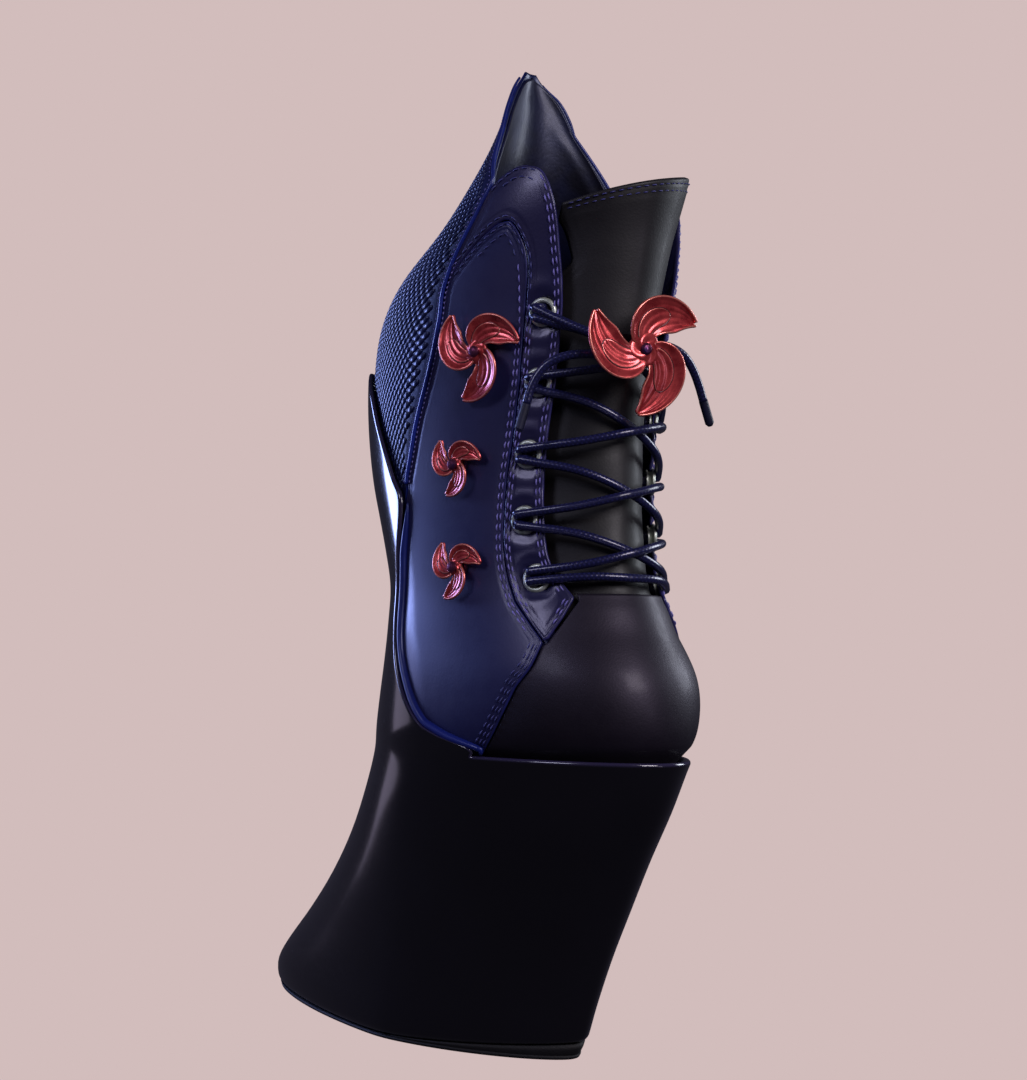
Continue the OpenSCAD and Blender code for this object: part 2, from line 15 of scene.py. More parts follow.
import bpy
import numpy as np
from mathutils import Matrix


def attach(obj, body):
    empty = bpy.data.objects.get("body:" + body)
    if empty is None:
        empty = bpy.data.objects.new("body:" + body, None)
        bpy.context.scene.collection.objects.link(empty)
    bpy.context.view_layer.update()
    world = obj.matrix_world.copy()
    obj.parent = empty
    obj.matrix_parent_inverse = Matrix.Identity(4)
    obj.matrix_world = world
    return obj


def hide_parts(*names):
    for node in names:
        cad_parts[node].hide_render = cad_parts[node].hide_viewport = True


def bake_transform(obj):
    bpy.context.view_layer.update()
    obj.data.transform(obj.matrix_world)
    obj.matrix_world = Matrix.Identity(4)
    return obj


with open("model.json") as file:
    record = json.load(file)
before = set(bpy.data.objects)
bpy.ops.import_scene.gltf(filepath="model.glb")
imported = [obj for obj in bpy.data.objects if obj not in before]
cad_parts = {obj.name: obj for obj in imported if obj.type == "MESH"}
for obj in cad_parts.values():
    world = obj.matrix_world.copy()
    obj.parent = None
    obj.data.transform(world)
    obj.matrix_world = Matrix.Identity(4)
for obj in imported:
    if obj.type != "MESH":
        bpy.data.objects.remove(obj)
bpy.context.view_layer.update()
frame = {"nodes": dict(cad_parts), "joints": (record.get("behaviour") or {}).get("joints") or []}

logging.basicConfig(level=logging.INFO, format="%(message)s")
LOG = logging.getLogger("boot")

Array = np.ndarray
Uv = Sequence[tuple[float, float]]
METRES = 0.001
# Edge distance far enough that no finish paints its edge tone, wear or painted highlight, on a piece.
NO_EDGE_TONE = 9.0


# ---------------------------------------------------------------- numbers of the boot
def hermite(table: Array, t: Array) -> Array:
    """Smooth curve through a table's rows, read at its first column.

    Each stretch is a cubic that keeps the rows and takes, at each row, the slope between its two neighbours.

    Args:
        table: Rows, sorted by their first column.
        t: Where to read it; values outside the table take its end rows.

    Returns:
        One row of the table's columns for each value.
    """
    rows, t = np.asarray(table, float), np.asarray(t, float)
    last = len(rows) - 1
    before, after = np.clip(np.arange(last + 1) - 1, 0, last), np.clip(np.arange(last + 1) + 1, 0, last)
    slopes = (rows[after] - rows[before]) / (rows[after, :1] - rows[before, :1])
    k = np.clip(np.searchsorted(rows[:, 0], t, side="right") - 1, 0, last - 1)
    h = (rows[k + 1, 0] - rows[k, 0])[..., None]
    s = np.clip((t - rows[k, 0])[..., None] / h, 0, 1)
    return ((2 * s**3 - 3 * s**2 + 1) * rows[k] + (s**3 - 2 * s**2 + s) * h * slopes[k]
            + (3 * s**2 - 2 * s**3) * rows[k + 1] + (s**3 - s**2) * h * slopes[k + 1])


def edge(table: Uv, z: Array | float) -> Array:
    """Second column of a two-column table at the given first column."""
    return hermite(np.array(table, float), z)[..., 1]


def ramp(t: Array | float) -> Array:
    """Smooth step from 0 at 0 to 1 at 1: 3t² − 2t³, held flat outside."""
    t = np.clip(t, 0, 1)
    return t * t * (3 - 2 * t)


def unit(v: Array) -> Array:
    """Vectors scaled to length one."""
    return v / np.maximum(np.linalg.norm(v, axis=-1, keepdims=True), 1e-9)


def grown(rows: Array, d: float) -> Array:
    """Surface rows moved outwards by a distance, in front, behind and at the sides."""
    return rows + d * np.array([0, -1, 1, 0, 1, 0, 0])


UPPER_ROWS = np.array([
    [105, -33, 126, 38, 38, 1.8, 2], [118, -29, 133, 42, 41.8, 1.8, 2], [130, -26, 138, 44, 46, 1.8, 2.2],
    [150, -20, 137, 45, 47, 1.8, 2.3], [170, -13, 128, 38, 45.5, 1.8, 2.1], [190, -10, 120, 33, 43, 1.8, 2],
    [210, -17, 118, 30, 42.5, 1.8, 2], [240, -26, 118, 27, 43, 1.9, 2], [270, -28, 121, 28, 45, 1.95, 2],
    [295, -25.5, 126, 34, 46, 2, 2], [310, -20, 129, 44, 46.5, 2, 2], [322, -7, 131.5, 54, 46.5, 2, 2],
    [335, 20, 134, 68, 46, 2, 2], [350, 38, 136, 80, 43.5, 2, 2], [370, 49, 138, 88, 36, 2, 2],
    [390, 53, 138, 85, 26, 2, 2], [412, 55.5, 138, 76, 12, 2, 2]], float)
PLATFORM_ROWS = np.array([
    [0, -125, 83, 0, 38, 1.5, 1.5], [10, -128, 87.5, 2, 38.5, 1.5, 1.5], [20, -120, 91, 4, 38, 1.55, 1.55],
    [40, -97, 99.5, 10, 38.5, 1.6, 1.6], [60, -75, 109, 16, 39.5, 1.7, 1.7],
    [80, -57, 119, 22, 41, 1.75, 1.75], [100, -42.5, 130, 28, 43, 1.8, 1.8],
    [120, -32.2, 138, 38, 46, 1.8, 1.95]], float)
SHELL_GROWTH = 3.4
SHELL_ROWS = np.concatenate([PLATFORM_ROWS,
                             grown(hermite(UPPER_ROWS, np.arange(130.0, 311.0, 15)), SHELL_GROWTH)])

THROAT: Uv = [(181, 34), (197, 41), (221, 42), (248, 40), (268, 38), (298, 39), (321, 45), (336, 52),
              (348, 61)]
QUARTER_FOOT: Uv = [(112, 76), (123, 71), (147, 62), (156, 55), (165.5, 48.5)]
QUARTER_BACK: Uv = [(112, 128), (150, 128), (180, 125), (200, 116), (212, 106), (220, 100), (225, 94),
                    (234, 90.5), (254, 86), (277, 81), (297, 80), (309, 82), (313, 82.5)]
BACK_EDGE: Uv = [(214, 112), (220, 101), (225, 94), (234, 90.5), (254, 86), (277, 81), (297, 80), (309, 82.5),
                 (325, 84), (340, 85.5), (349, 87), (360, 99), (371, 109), (386, 121), (394, 128), (401, 138),
                 (412, 165)]
SPINE: Uv = [(120, 112), (123, 108), (129, 94), (142, 79), (158, 71), (175, 71), (200, 77), (225, 87),
             (234, 82), (257, 70), (275, 58), (286, 44)]
COLLAR_RIM: Uv = [(56, 338), (61, 345), (70, 350), (78, 350), (85, 347), (98, 358), (109, 370), (121, 385),
                  (138, 399), (153, 406), (180, 410)]
FOOTBED: Uv = [(-34, 222), (-10, 220), (8, 214), (22, 198), (36, 170), (52, 140), (72, 120), (95, 113),
               (134, 111)]
EYESTAY = [((84.5, 337), (82.5, 313)), ((84.5, 346), (80.5, 318)), ((78, 351), (76, 326.5)),
           ((70, 351), (70, 331)), ((61, 347), (64, 328.5)), ((52, 336), (56.5, 319.5)),
           ((45, 321), (52.5, 308)), ((39, 298), (50.5, 290)), ((38, 268), (50, 268)),
           ((40, 248), (51.5, 250)), ((42, 221), (55, 223)), ((41, 197), (56.5, 200)),
           ((34, 182), (54.5, 181)), ((40, 174), (51.5, 171)), ((46.5, 166.5), (48.5, 165.5))]
EYELETS_OUTER: Uv = [(-46, 190), (-49, 213), (-47, 239), (-44, 267), (-45, 294)]
EYELETS_INNER: Uv = [(29, 188), (30, 208), (30, 231), (30, 255), (30, 282)]
LACE_SHIFT = 14.0
SPIRE_CUT = 12.0
LEATHER = 1.4
LACE = 3.4


class Side(Enum):
    """A side of the boot, as the sign of its angles from the toe."""

    OUTER = -1
    INNER = 1

    def turned(self, u: Array, z: Array) -> Array:
        """Angles on this side: the inner side's lacing lies nearer to the toe, up to the collar."""
        shift = LACE_SHIFT * np.clip((90 - u) / 50, 0, 1) * np.clip((335 - z) / 30, 0, 1)
        return self.value * (u - (shift if self is Side.INNER else 0))

    @property
    def word(self) -> str:
        """The side's name in the names of its pieces."""
        return "lateral" if self is Side.OUTER else "medial"


def spire_cut(z: Array) -> Array:
    """How much further back the spire's rim lies on the inner side, in degrees."""
    return SPIRE_CUT * np.clip((z - 349) / 15, 0, 1) * np.clip((402 - z) / 15, 0, 1)


class Surface:
    """A smooth body whose level outlines are two joined half superellipses, given by rows by height.

    At height z and angle u from the toe, x = widest + reach·c^(2/n) and y = half·s^(2/n), with c and s the
    cosine and sine of u, and reach and n those of the front or of the back. The powers are softened near
    zero, and the rows are averaged over a few millimetres of height, so that the gloss runs evenly.
    """

    step, softness = 0.5, 0.03

    def __init__(self, rows: Array, blur: float) -> None:
        """Reads the rows every half millimetre and averages them with a bell curve of the given width."""
        self.z = np.arange(rows[0, 0] - 20, rows[-1, 0] + 20, self.step)
        dense = hermite(rows, self.z)
        reach = np.arange(-4 * blur, 4 * blur + self.step, self.step)
        bell = np.exp(-((reach / blur) ** 2) / 2)
        bell /= bell.sum()
        half = len(bell) // 2
        padded = np.pad(dense, ((half, half), (0, 0)), mode="edge")
        self.columns = [np.convolve(padded[:, c], bell, "valid")[:len(self.z)] for c in range(1, 7)]

    def ring(self, u: Array, z: Array) -> Array:
        """Points at angles (degrees) and heights (mm)."""
        rear, front, widest, half, rear_n, front_n = (np.interp(z, self.z, c) for c in self.columns)
        c, s = np.cos(np.radians(u)), np.sin(np.radians(u))
        n = np.where(c < 0, rear_n, front_n)
        reach = np.where(c < 0, widest - rear, front - widest)
        return np.stack([widest + reach * self.bent(c, n), half * self.bent(s, n), z + 0 * u], -1)

    def bent(self, c: Array, n: Array) -> Array:
        """c raised to 2/n with its sign kept and the corner at zero softened."""
        return c * ((c * c + self.softness) / (1 + self.softness)) ** (1 / n - 0.5)

    def facing(self, u: Array, z: Array) -> Array:
        """Outward directions."""
        return unit(np.cross(self.ring(u + 1, z) - self.ring(u - 1, z),
                             self.ring(u, z + 1) - self.ring(u, z - 1)))

    def at(self, u: Array, z: Array, d: Array | float = 0.0) -> Array:
        """Points lifted by d from the surface."""
        u, z = np.broadcast_arrays(np.asarray(u, float), np.asarray(z, float))
        return self.ring(u, z) + np.asarray(d)[..., None] * self.facing(u, z)


UPPER = Surface(UPPER_ROWS, 3.0)
SHELL = Surface(SHELL_ROWS, 2.5)


def table_point(u: float, z: float, d: float = 0.0) -> tuple[Array, Array]:
    """Point and outward direction of the upper's own rows, unaveraged, as the CAD places its hardware."""
    def ring(a: float, h: float) -> Array:
        """Point at an angle and a height."""
        p = hermite(UPPER_ROWS, np.array([h]))[0]
        c, s = math.cos(math.radians(a)), math.sin(math.radians(a))
        n = p[5] if c < 0 else p[6]
        return np.array([p[3] + (p[3] - p[1] if c < 0 else p[2] - p[3]) * math.copysign(abs(c) ** (2 / n), c),
                         p[4] * math.copysign(abs(s) ** (2 / n), s), p[0]])
    n = unit(np.cross(ring(u + 1, z) - ring(u - 1, z), ring(u, z + 1) - ring(u, z - 1)))
    return ring(u, z) + d * n, n


# ---------------------------------------------------------------- meshes
def mesh_object(name: str, points: Array, faces: list[Array], attributes: dict[str, Array] | None = None
                ) -> bpy.types.Object:
    """Smooth-shaded mesh object at the origin.

    Args:
        name: The piece's name.
        points: Corners in millimetres.
        faces: Arrays of corner numbers, one array for each number of corners.
        attributes: Numbers for each corner, by name.

    Returns:
        The new object, linked to the scene.
    """
    mesh = bpy.data.meshes.new(name)
    mesh.from_pydata((np.asarray(points) * METRES).tolist(), [],
                     [f for block in faces for f in block.tolist()])
    for word, values in (attributes or {}).items():
        mesh.attributes.new(word, "FLOAT", "POINT").data.foreach_set("value", np.asarray(values, np.float32))
    mesh.shade_smooth()
    obj = bpy.data.objects.new(name, mesh)
    bpy.context.scene.collection.objects.link(obj)
    return obj


def ring_faces(rings: int, around: int, closed: bool = False) -> Array:
    """Four-sided faces between neighbouring rings of corners; when closed, the last ring meets the first."""
    j, i = np.divmod(np.arange((rings if closed else rings - 1) * around), around)
    right, above = (i + 1) % around, (j + 1) % rings
    return np.stack([j * around + i, j * around + right, above * around + right, above * around + i], 1)


def end_caps(rings: int, around: int) -> Array:
    """The two faces that close a stack of rings."""
    return np.stack([np.arange(around)[::-1], (rings - 1) * around + np.arange(around)])


def without_edge_tone(obj: bpy.types.Object) -> bpy.types.Object:
    """Marks every corner of a piece as far from an edge, so that its finish paints no edge tone on it:
    neither wear nor the painted edge highlight.
    """
    values = np.full(len(obj.data.vertices), NO_EDGE_TONE, np.float32)
    obj.data.attributes.new("edge", "FLOAT", "POINT").data.foreach_set("value", values)
    return obj


def closest(points: Array, marks: Array) -> Array:
    """Distance from each point to the nearest mark, worked out in blocks."""
    found = [np.sqrt(((block[:, None] - marks[None]) ** 2).sum(-1).min(1))
             for block in np.array_split(points, max(1, len(points) * len(marks) // 2_000_000))]
    return np.concatenate(found)


@dataclass
class Sheet:
    """A closed sheet over a grid of base points, with its edges rolled round.

    Attributes:
        points, normals: Base points and outward directions, m by n by 3.
        outer, inner: Distances of the two faces from the base; numbers, or functions of the edge distance.
        roll: Width over which an edge is rounded.
        wrap: Whether the last column meets the first.
        keep: Which cells exist; the rest are openings with rolled rims.
    """

    points: Array
    normals: Array
    outer: float | Callable[[Array], Array] = 0.0
    inner: float = -LEATHER
    roll: float = 1.0
    wrap: bool = False
    keep: Array | None = None

    def build(self, name: str) -> bpy.types.Object:
        """Makes the mesh: where the sheet ends, both faces share their corners at half thickness.

        With d the distance to the nearest end and r the roll, each face stands off the middle by half the
        thickness times the root of 1 − (1 − d/r)², which is a round edge.
        """
        m, n = self.points.shape[:2]
        cells = np.ones((m - 1, n if self.wrap else n - 1), bool) if self.keep is None else self.keep
        j, i = np.nonzero(cells)
        right = (i + 1) % n
        a, b, c, d = j * n + i, j * n + right, (j + 1) * n + right, (j + 1) * n + i
        uses = np.bincount(np.concatenate([a, b, c, d]), minlength=m * n)
        rim, inside = (uses > 0) & (uses < 4), uses == 4
        base, out = self.points.reshape(-1, 3), self.normals.reshape(-1, 3)
        away = np.zeros(m * n)
        away[uses > 0] = closest(base[uses > 0], base[rim])
        outer = self.outer(away.reshape(m, n)).ravel() if callable(self.outer) else self.outer + 0 * away
        middle, half = (outer + self.inner) / 2, (outer - self.inner) / 2
        swell = np.sqrt(np.clip(1 - (1 - np.clip(away / self.roll, 0, 1)) ** 2, 0, 1))
        top = base + (middle + half * swell)[:, None] * out
        low = base + (middle - half * swell)[:, None] * out
        number = np.full(2 * m * n, -1)
        used = np.concatenate([uses > 0, inside])
        number[used] = np.arange(used.sum())
        lower = np.where(rim, number[:m * n], number[m * n:])
        upper = number[:m * n]
        quads = np.concatenate([np.stack([upper[a], upper[b], upper[c], upper[d]], 1),
                                np.stack([lower[d], lower[c], lower[b], lower[a]], 1)])
        flip = ((np.cross(base[b] - base[a], base[d] - base[a]) * out[a]).sum(1) < 0).mean() > 0.5
        quads = quads[:, ::-1] if flip else quads
        return mesh_object(name, np.concatenate([top, low])[used], [quads],
                           {"edge": np.concatenate([away, np.full(m * n, 50.0)])[used]})


def packed(length: float, step: float, near: Sequence[float] = (0, .12, .35, .7, 1.2, 1.8, 2.5, 3.3,
                                                                4.2)) -> Array:
    """Shares from 0 to 1 along a length, closer together near both ends."""
    near = np.array([v for v in near if v < 0.45 * length])
    middle = np.linspace(near[-1], length - near[-1], max(3, int((length - 2 * near[-1]) / step) + 2))[1:-1]
    return np.concatenate([near, middle, (length - near)[::-1]]) / length


def grid(first: Array, last: Array, shares: Array) -> Array:
    """Values between two edges: one row for each pair, one column for each share."""
    return first[:, None] + (last - first)[:, None] * shares[None]


def panel(surface: Surface, u: Array, z: Array, **facts: object) -> Sheet:
    """Sheet over a grid of angles and heights on a surface."""
    return Sheet(surface.ring(u, z), surface.facing(u, z), **facts)


def resampled(points: Array, step: float) -> Array:
    """Points at even distances along a line through the given points, smoothed by a cubic through them."""
    length = np.concatenate([[0], np.cumsum(np.linalg.norm(np.diff(points, axis=0), axis=1))])
    table = np.column_stack([length, points])
    return hermite(table, np.linspace(0, length[-1], max(4, int(length[-1] / step) + 1)))[:, 1:]


def carried_frames(path: Array, start: Array) -> tuple[Array, Array, Array]:
    """Directions along and across a path, carried from station to station without twisting.

    Args:
        path: Stations of the path.
        start: A direction that is not along the path's first stretch.

    Returns:
        Tangents, and two directions square to them and to each other.
    """
    tangent = unit(np.gradient(path, axis=0))
    side = np.empty_like(tangent)
    carried = np.asarray(start, float)
    for k, t in enumerate(tangent):
        carried = carried - (carried @ t) * t
        carried = side[k] = carried / np.linalg.norm(carried)
    return tangent, side, np.cross(tangent, side)


def tube(name: str, path: Array, radius: Array | float, sides: int = 12,
         start: Sequence[float] = (.31, .27, .91)
         ) -> bpy.types.Object:
    """Round cord along a path, with closed ends and its length and turn kept as attributes.

    A point is path + r·(cos a·side + sin a·other), with a round the cord and r its radius there.
    """
    _, side, other = carried_frames(path, np.array(start))
    a = np.arange(sides) * 2 * math.pi / sides
    r = np.broadcast_to(np.asarray(radius, float), len(path))[:, None, None]
    points = path[:, None] + r * (np.cos(a)[None, :, None] * side[:, None]
                                  + np.sin(a)[None, :, None] * other[:, None])
    m = len(path)
    length = np.concatenate([[0], np.cumsum(np.linalg.norm(np.diff(path, axis=0), axis=1))])
    return mesh_object(name, points.reshape(-1, 3), [ring_faces(m, sides), end_caps(m, sides)],
                       {"along": np.repeat(length, sides), "round": np.tile(a, m)})


@dataclass
class Line:
    """A line on a surface with its outward directions, from which seams and threads are laid."""

    points: Array
    normals: Array

    @classmethod
    def on(cls, surface: Surface, u: Array, z: Array, lift: float = 0.0) -> "Line":
        """Line through angles and heights on a surface."""
        return cls(surface.at(u, z, lift), surface.facing(np.asarray(u, float), np.asarray(z, float)))

    def beside(self, distance: Array | float) -> "Line":
        """The line moved sideways along the surface: to its left, seen from outside, when positive."""
        tangent = unit(np.gradient(self.points, axis=0))
        return Line(self.points + np.asarray(distance)[..., None] * np.cross(self.normals, tangent),
                    self.normals)

    def part(self, low: float, high: float) -> "Line":
        """The stretch between two shares of the line's stations."""
        k = len(self.points)
        return Line(self.points[int(low * k):int(high * k)], self.normals[int(low * k):int(high * k)])


@dataclass(frozen=True)
class Thread:
    """A sewing thread: pitch and length of its stitches, and its radius, in millimetres."""

    pitch: float = 4.1
    stitch: float = 3.2
    radius: float = 0.36
    rise: float = 0.25
    sides: int = 6
    rings: int = 6

    def row(self, line: Line) -> tuple[Array, Array]:
        """Corners and faces of one row: capsules that rise between the two holes of each stitch.

        Along a stitch, with s from 0 to 1, the radius goes as the root of sin πs and the height as
        rise·sin πs, less the depth of its ends.
        """
        steps = np.linalg.norm(np.diff(line.points, axis=0), axis=1)
        length = np.concatenate([[0], np.cumsum(steps)])
        starts = np.arange(0.4, length[-1] - self.stitch, self.pitch)
        s = np.linspace(0.02, 0.98, self.rings)
        where = starts[:, None] + s[None] * self.stitch
        centre = np.stack([np.interp(where, length, line.points[:, k]) for k in range(3)], -1)
        out = unit(np.stack([np.interp(where, length, line.normals[:, k]) for k in range(3)], -1))
        along = unit(centre[:, -1] - centre[:, 0])[:, None]
        across = unit(np.cross(out, along))
        bow = np.sin(np.pi * s)
        centre = centre + ((bow * (self.rise + self.radius) - self.radius)[None, :, None]) * out
        a = np.arange(self.sides) * 2 * math.pi / self.sides
        r = (self.radius * np.sqrt(bow))[None, :, None, None]
        points = centre[:, :, None] + r * (np.cos(a)[:, None] * across[:, :, None]
                                           + np.sin(a)[:, None] * out[:, :, None])
        count, block = len(starts), self.rings * self.sides
        quad = ring_faces(self.rings, self.sides)[:, ::-1]
        caps = end_caps(self.rings, self.sides)[:, ::-1]
        first = (np.arange(count) * block)[:, None, None]
        return points.reshape(-1, 3), [(first + quad).reshape(-1, 4), (first + caps).reshape(-1, self.sides)]

    def sew(self, name: str, lines: Sequence[Line]) -> bpy.types.Object:
        """One piece that holds the stitches of several rows."""
        corners, quads, caps, count = [], [], [], 0
        for line in lines:
            points, (q, c) = self.row(line)
            corners.append(points)
            quads.append(q + count)
            caps.append(c + count)
            count += len(points)
        return mesh_object(name, np.concatenate(corners), [np.concatenate(quads), np.concatenate(caps)])


# ---------------------------------------------------------------- finishes
Colour = tuple[float, float, float]


def shade(red: int, green: int, blue: int) -> Colour:
    """Linear colour from display values of 0 to 255."""
    return tuple(c / 12.92 if c <= 0.04045 else ((c + 0.055) / 1.055) ** 2.4
                 for c in (red / 255, green / 255, blue / 255))


class Value:
    """A number socket; arithmetic on it adds Math nodes."""

    def __init__(self, shop: "Nodes", socket: bpy.types.NodeSocket) -> None:
        """Keeps the socket and the material that it belongs to."""
        self.shop, self.socket = shop, socket

    def step(self, operation: str, *others: "Value | float", first: bool = True) -> "Value":
        """One Math node with this value first or second."""
        values = [self, *others] if first else [*others, self]
        made = self.shop.node("ShaderNodeMath", {"operation": operation}, dict(enumerate(values)))
        return Value(self.shop, made.outputs[0])

    def __add__(self, other: "Value | float") -> "Value":
        """Sum."""
        return self.step("ADD", other)

    __radd__ = __add__

    def __mul__(self, other: "Value | float") -> "Value":
        """Product."""
        return self.step("MULTIPLY", other)

    __rmul__ = __mul__

    def __sub__(self, other: "Value | float") -> "Value":
        """Difference."""
        return self.step("SUBTRACT", other)

    def __rsub__(self, other: "Value | float") -> "Value":
        """Difference, the other way round."""
        return self.step("SUBTRACT", other, first=False)

    def __pow__(self, other: float) -> "Value":
        """Power."""
        return self.step("POWER", other)

    def wave(self) -> "Value":
        """Sine, moved to lie between 0 and 1."""
        return self.step("SINE") * 0.5 + 0.5

    def between(self, low: float, high: float) -> "Value":
        """Smooth step from 0 at low to 1 at high; low may be the larger."""
        made = self.shop.node("ShaderNodeMapRange", {"interpolation_type": "SMOOTHSTEP"},
                              {0: self, 1: low, 2: high, 3: 0.0, 4: 1.0})
        return Value(self.shop, made.outputs[0])


class Nodes:
    """Makes one material's nodes."""

    def __init__(self, name: str) -> None:
        """Starts a material with its shader and output only."""
        self.material = bpy.data.materials.new(name)
        self.material.use_nodes = True
        self.tree = self.material.node_tree
        self.tree.nodes.clear()
        self.shader = self.node("ShaderNodeBsdfPrincipled", {}, {})
        self.node("ShaderNodeOutputMaterial", {}, {"Surface": self.shader.outputs[0]})
        self.place = self.node("ShaderNodeTexCoord", {}, {}).outputs["Object"]

    def node(self, kind: str, settings: dict[str, object], inputs: dict[int | str, object]) -> bpy.types.Node:
        """Adds a node, sets it up, and gives its sockets their values or links."""
        made = self.tree.nodes.new(kind)
        for word, value in settings.items():
            setattr(made, word, value)
        for key, value in inputs.items():
            value = value.socket if isinstance(value, Value) else value
            if isinstance(value, bpy.types.NodeSocket):
                self.tree.links.new(value, made.inputs[key])
            else:
                made.inputs[key].default_value = value
        return made

    def attribute(self, name: str) -> Value:
        """A number kept with the mesh's corners."""
        return Value(self, self.node("ShaderNodeAttribute", {"attribute_name": name}, {}).outputs["Fac"])

    def noise(self, size: float, detail: float = 3.0, roughness: float = 0.55) -> Value:
        """Soft noise whose patches are about size millimetres wide."""
        made = self.node("ShaderNodeTexNoise", {},
                         {"Vector": self.place, "Scale": 1000 / size, "Detail": detail,
                                                    "Roughness": roughness})
        return Value(self, made.outputs["Fac"])

    def cells(self, size: float, feature: str = "SMOOTH_F1") -> Value:
        """Distance from the middle of the nearest cell, for cells about size millimetres wide."""
        made = self.node("ShaderNodeTexVoronoi", {"feature": feature},
                         {"Vector": self.place, "Scale": 1000 / size})
        return Value(self, made.outputs["Distance"])

    def mix(self, factor: Value | float, a: object, b: object) -> bpy.types.NodeSocket:
        """Colour between a and b."""
        colours = [(*c, 1.0) if isinstance(c, tuple) else c for c in (a, b)]
        made = self.node("ShaderNodeMix", {"data_type": "RGBA"}, {0: factor, 6: colours[0], 7: colours[1]})
        return made.outputs[2]

    def bump(self, height: Value, depth: float, strength: float = 1.0) -> bpy.types.NodeSocket:
        """Normal from a height of 0 to 1 that stands for depth millimetres."""
        made = self.node("ShaderNodeBump", {},
                         {"Strength": strength, "Distance": depth * METRES, "Height": height})
        return made.outputs[0]

    def finish(self, colour: object, roughness: Value | float, normal: object = None, **sockets: object
               ) -> bpy.types.Material:
        """Connects the shader and returns the material."""
        given = {"Base Color": (*colour, 1.0) if isinstance(colour, tuple) else colour,
                 "Roughness": roughness,
                 **{word.replace("_", " "): value for word, value in sockets.items()}}
        if normal is not None:
            given["Normal"] = normal
        for word, value in given.items():
            value = value.socket if isinstance(value, Value) else value
            if isinstance(value, bpy.types.NodeSocket):
                self.tree.links.new(value, self.shader.inputs[word])
            else:
                self.shader.inputs[word].default_value = value
        self.material.diffuse_color = (*(colour if isinstance(colour, tuple) else (0.1, 0.1, 0.15)), 1.0)
        return self.material


@dataclass(frozen=True)
class Leather:
    """Dyed leather: two close tones, grain of small cells with pores, painted shade in the creases, and paler
    edges that are partly wear and partly a painted highlight.
    """

    name: str
    tone: Colour
    second: Colour
    # Edge colour: partly wear, partly a painted highlight on rolled edges and raised ridges.
    wear_and_highlight: Colour
    roughness: float = 0.42
    grain: float = 0.9
    depth: float = 0.10
    coat: float = 0.25
    tint: Colour = (1.0, 1.0, 1.0)
    patch: float = 45.0

    def material(self) -> bpy.types.Material:
        """Builds the finish."""
        n = Nodes(self.name)
        patches = n.noise(self.patch, 2).between(0.35, 0.68)
        grain = n.cells(self.grain)
        pores = n.noise(0.35, 2)
        creases = n.noise(5.0, 4, 0.6)
        edge_away = n.attribute("edge")
        # Edge tone, partly wear and partly painted highlight: near an edge the colour goes to the edge colour
        # in irregular patches.
        wear_and_highlight = edge_away.between(0.9, 0.1) * (n.noise(6, 3).between(0.3, 0.7) * 0.6 + 0.35)
        colour = n.mix(patches, self.tone, self.second)
        # Painted shade in the creases: where the crease noise is high the colour goes towards the tone at 55
        # % of its brightness.
        colour = n.mix(creases.between(0.55, 0.8) * 0.35, colour, tuple(c * 0.55 for c in self.tone))
        colour = n.mix(wear_and_highlight, colour, self.wear_and_highlight)
        height = grain * 0.6 + pores * 0.15 + creases * 0.5
        roughness = creases * 0.16 + grain * 0.06 + (self.roughness - 0.1)
        return n.finish(colour, roughness, n.bump(height, self.depth, 0.8), Coat_Weight=self.coat,
                        Coat_Roughness=0.22, Specular_Tint=(*self.tint, 1.0), Specular_IOR_Level=0.5)


@dataclass(frozen=True)
class Moulding:
    """Glossy moulded plastic with faint orange peel, dust-fine scuffs and a painted highlight along its
    edges.
    """

    name: str
    tone: Colour
    painted_rim_highlight: Colour
    roughness: float = 0.22
    coat: float = 0.6

    def material(self) -> bpy.types.Material:
        """Builds the finish."""
        n = Nodes(self.name)
        peel, scuffs = n.noise(9, 2), n.noise(2.2, 4, 0.7)
        # Painted highlight: within about a millimetre of an edge the colour goes towards the paler rim
        # colour.
        rim = n.attribute("edge").between(1.4, 0.2)
        colour = n.mix(n.noise(60, 2).between(0.3, 0.7), self.tone, tuple(c * 1.5 for c in self.tone))
        colour = n.mix(rim * 0.8, colour, self.painted_rim_highlight)
        roughness = scuffs.between(0.55, 0.75) * 0.12 + self.roughness
        return n.finish(colour, roughness, n.bump(peel + scuffs * 0.06, 0.12, 0.35), Coat_Weight=self.coat,
                        Coat_Roughness=0.12)


@dataclass(frozen=True)
class Rubber:
    """Matt rubber or foam with a fine stipple."""

    name: str
    tone: Colour
    grain: float = 0.8
    depth: float = 0.12
    roughness: float = 0.7

    def material(self) -> bpy.types.Material:
        """Builds the finish."""
        n = Nodes(self.name)
        stipple, dust = n.cells(self.grain, "F1"), n.noise(14, 4)
        colour = n.mix(dust.between(0.4, 0.75) * 0.5, self.tone, tuple(c * 1.9 + 0.004 for c in self.tone))
        return n.finish(colour, dust * 0.15 + (self.roughness - 0.07), n.bump(stipple, self.depth, 0.7))


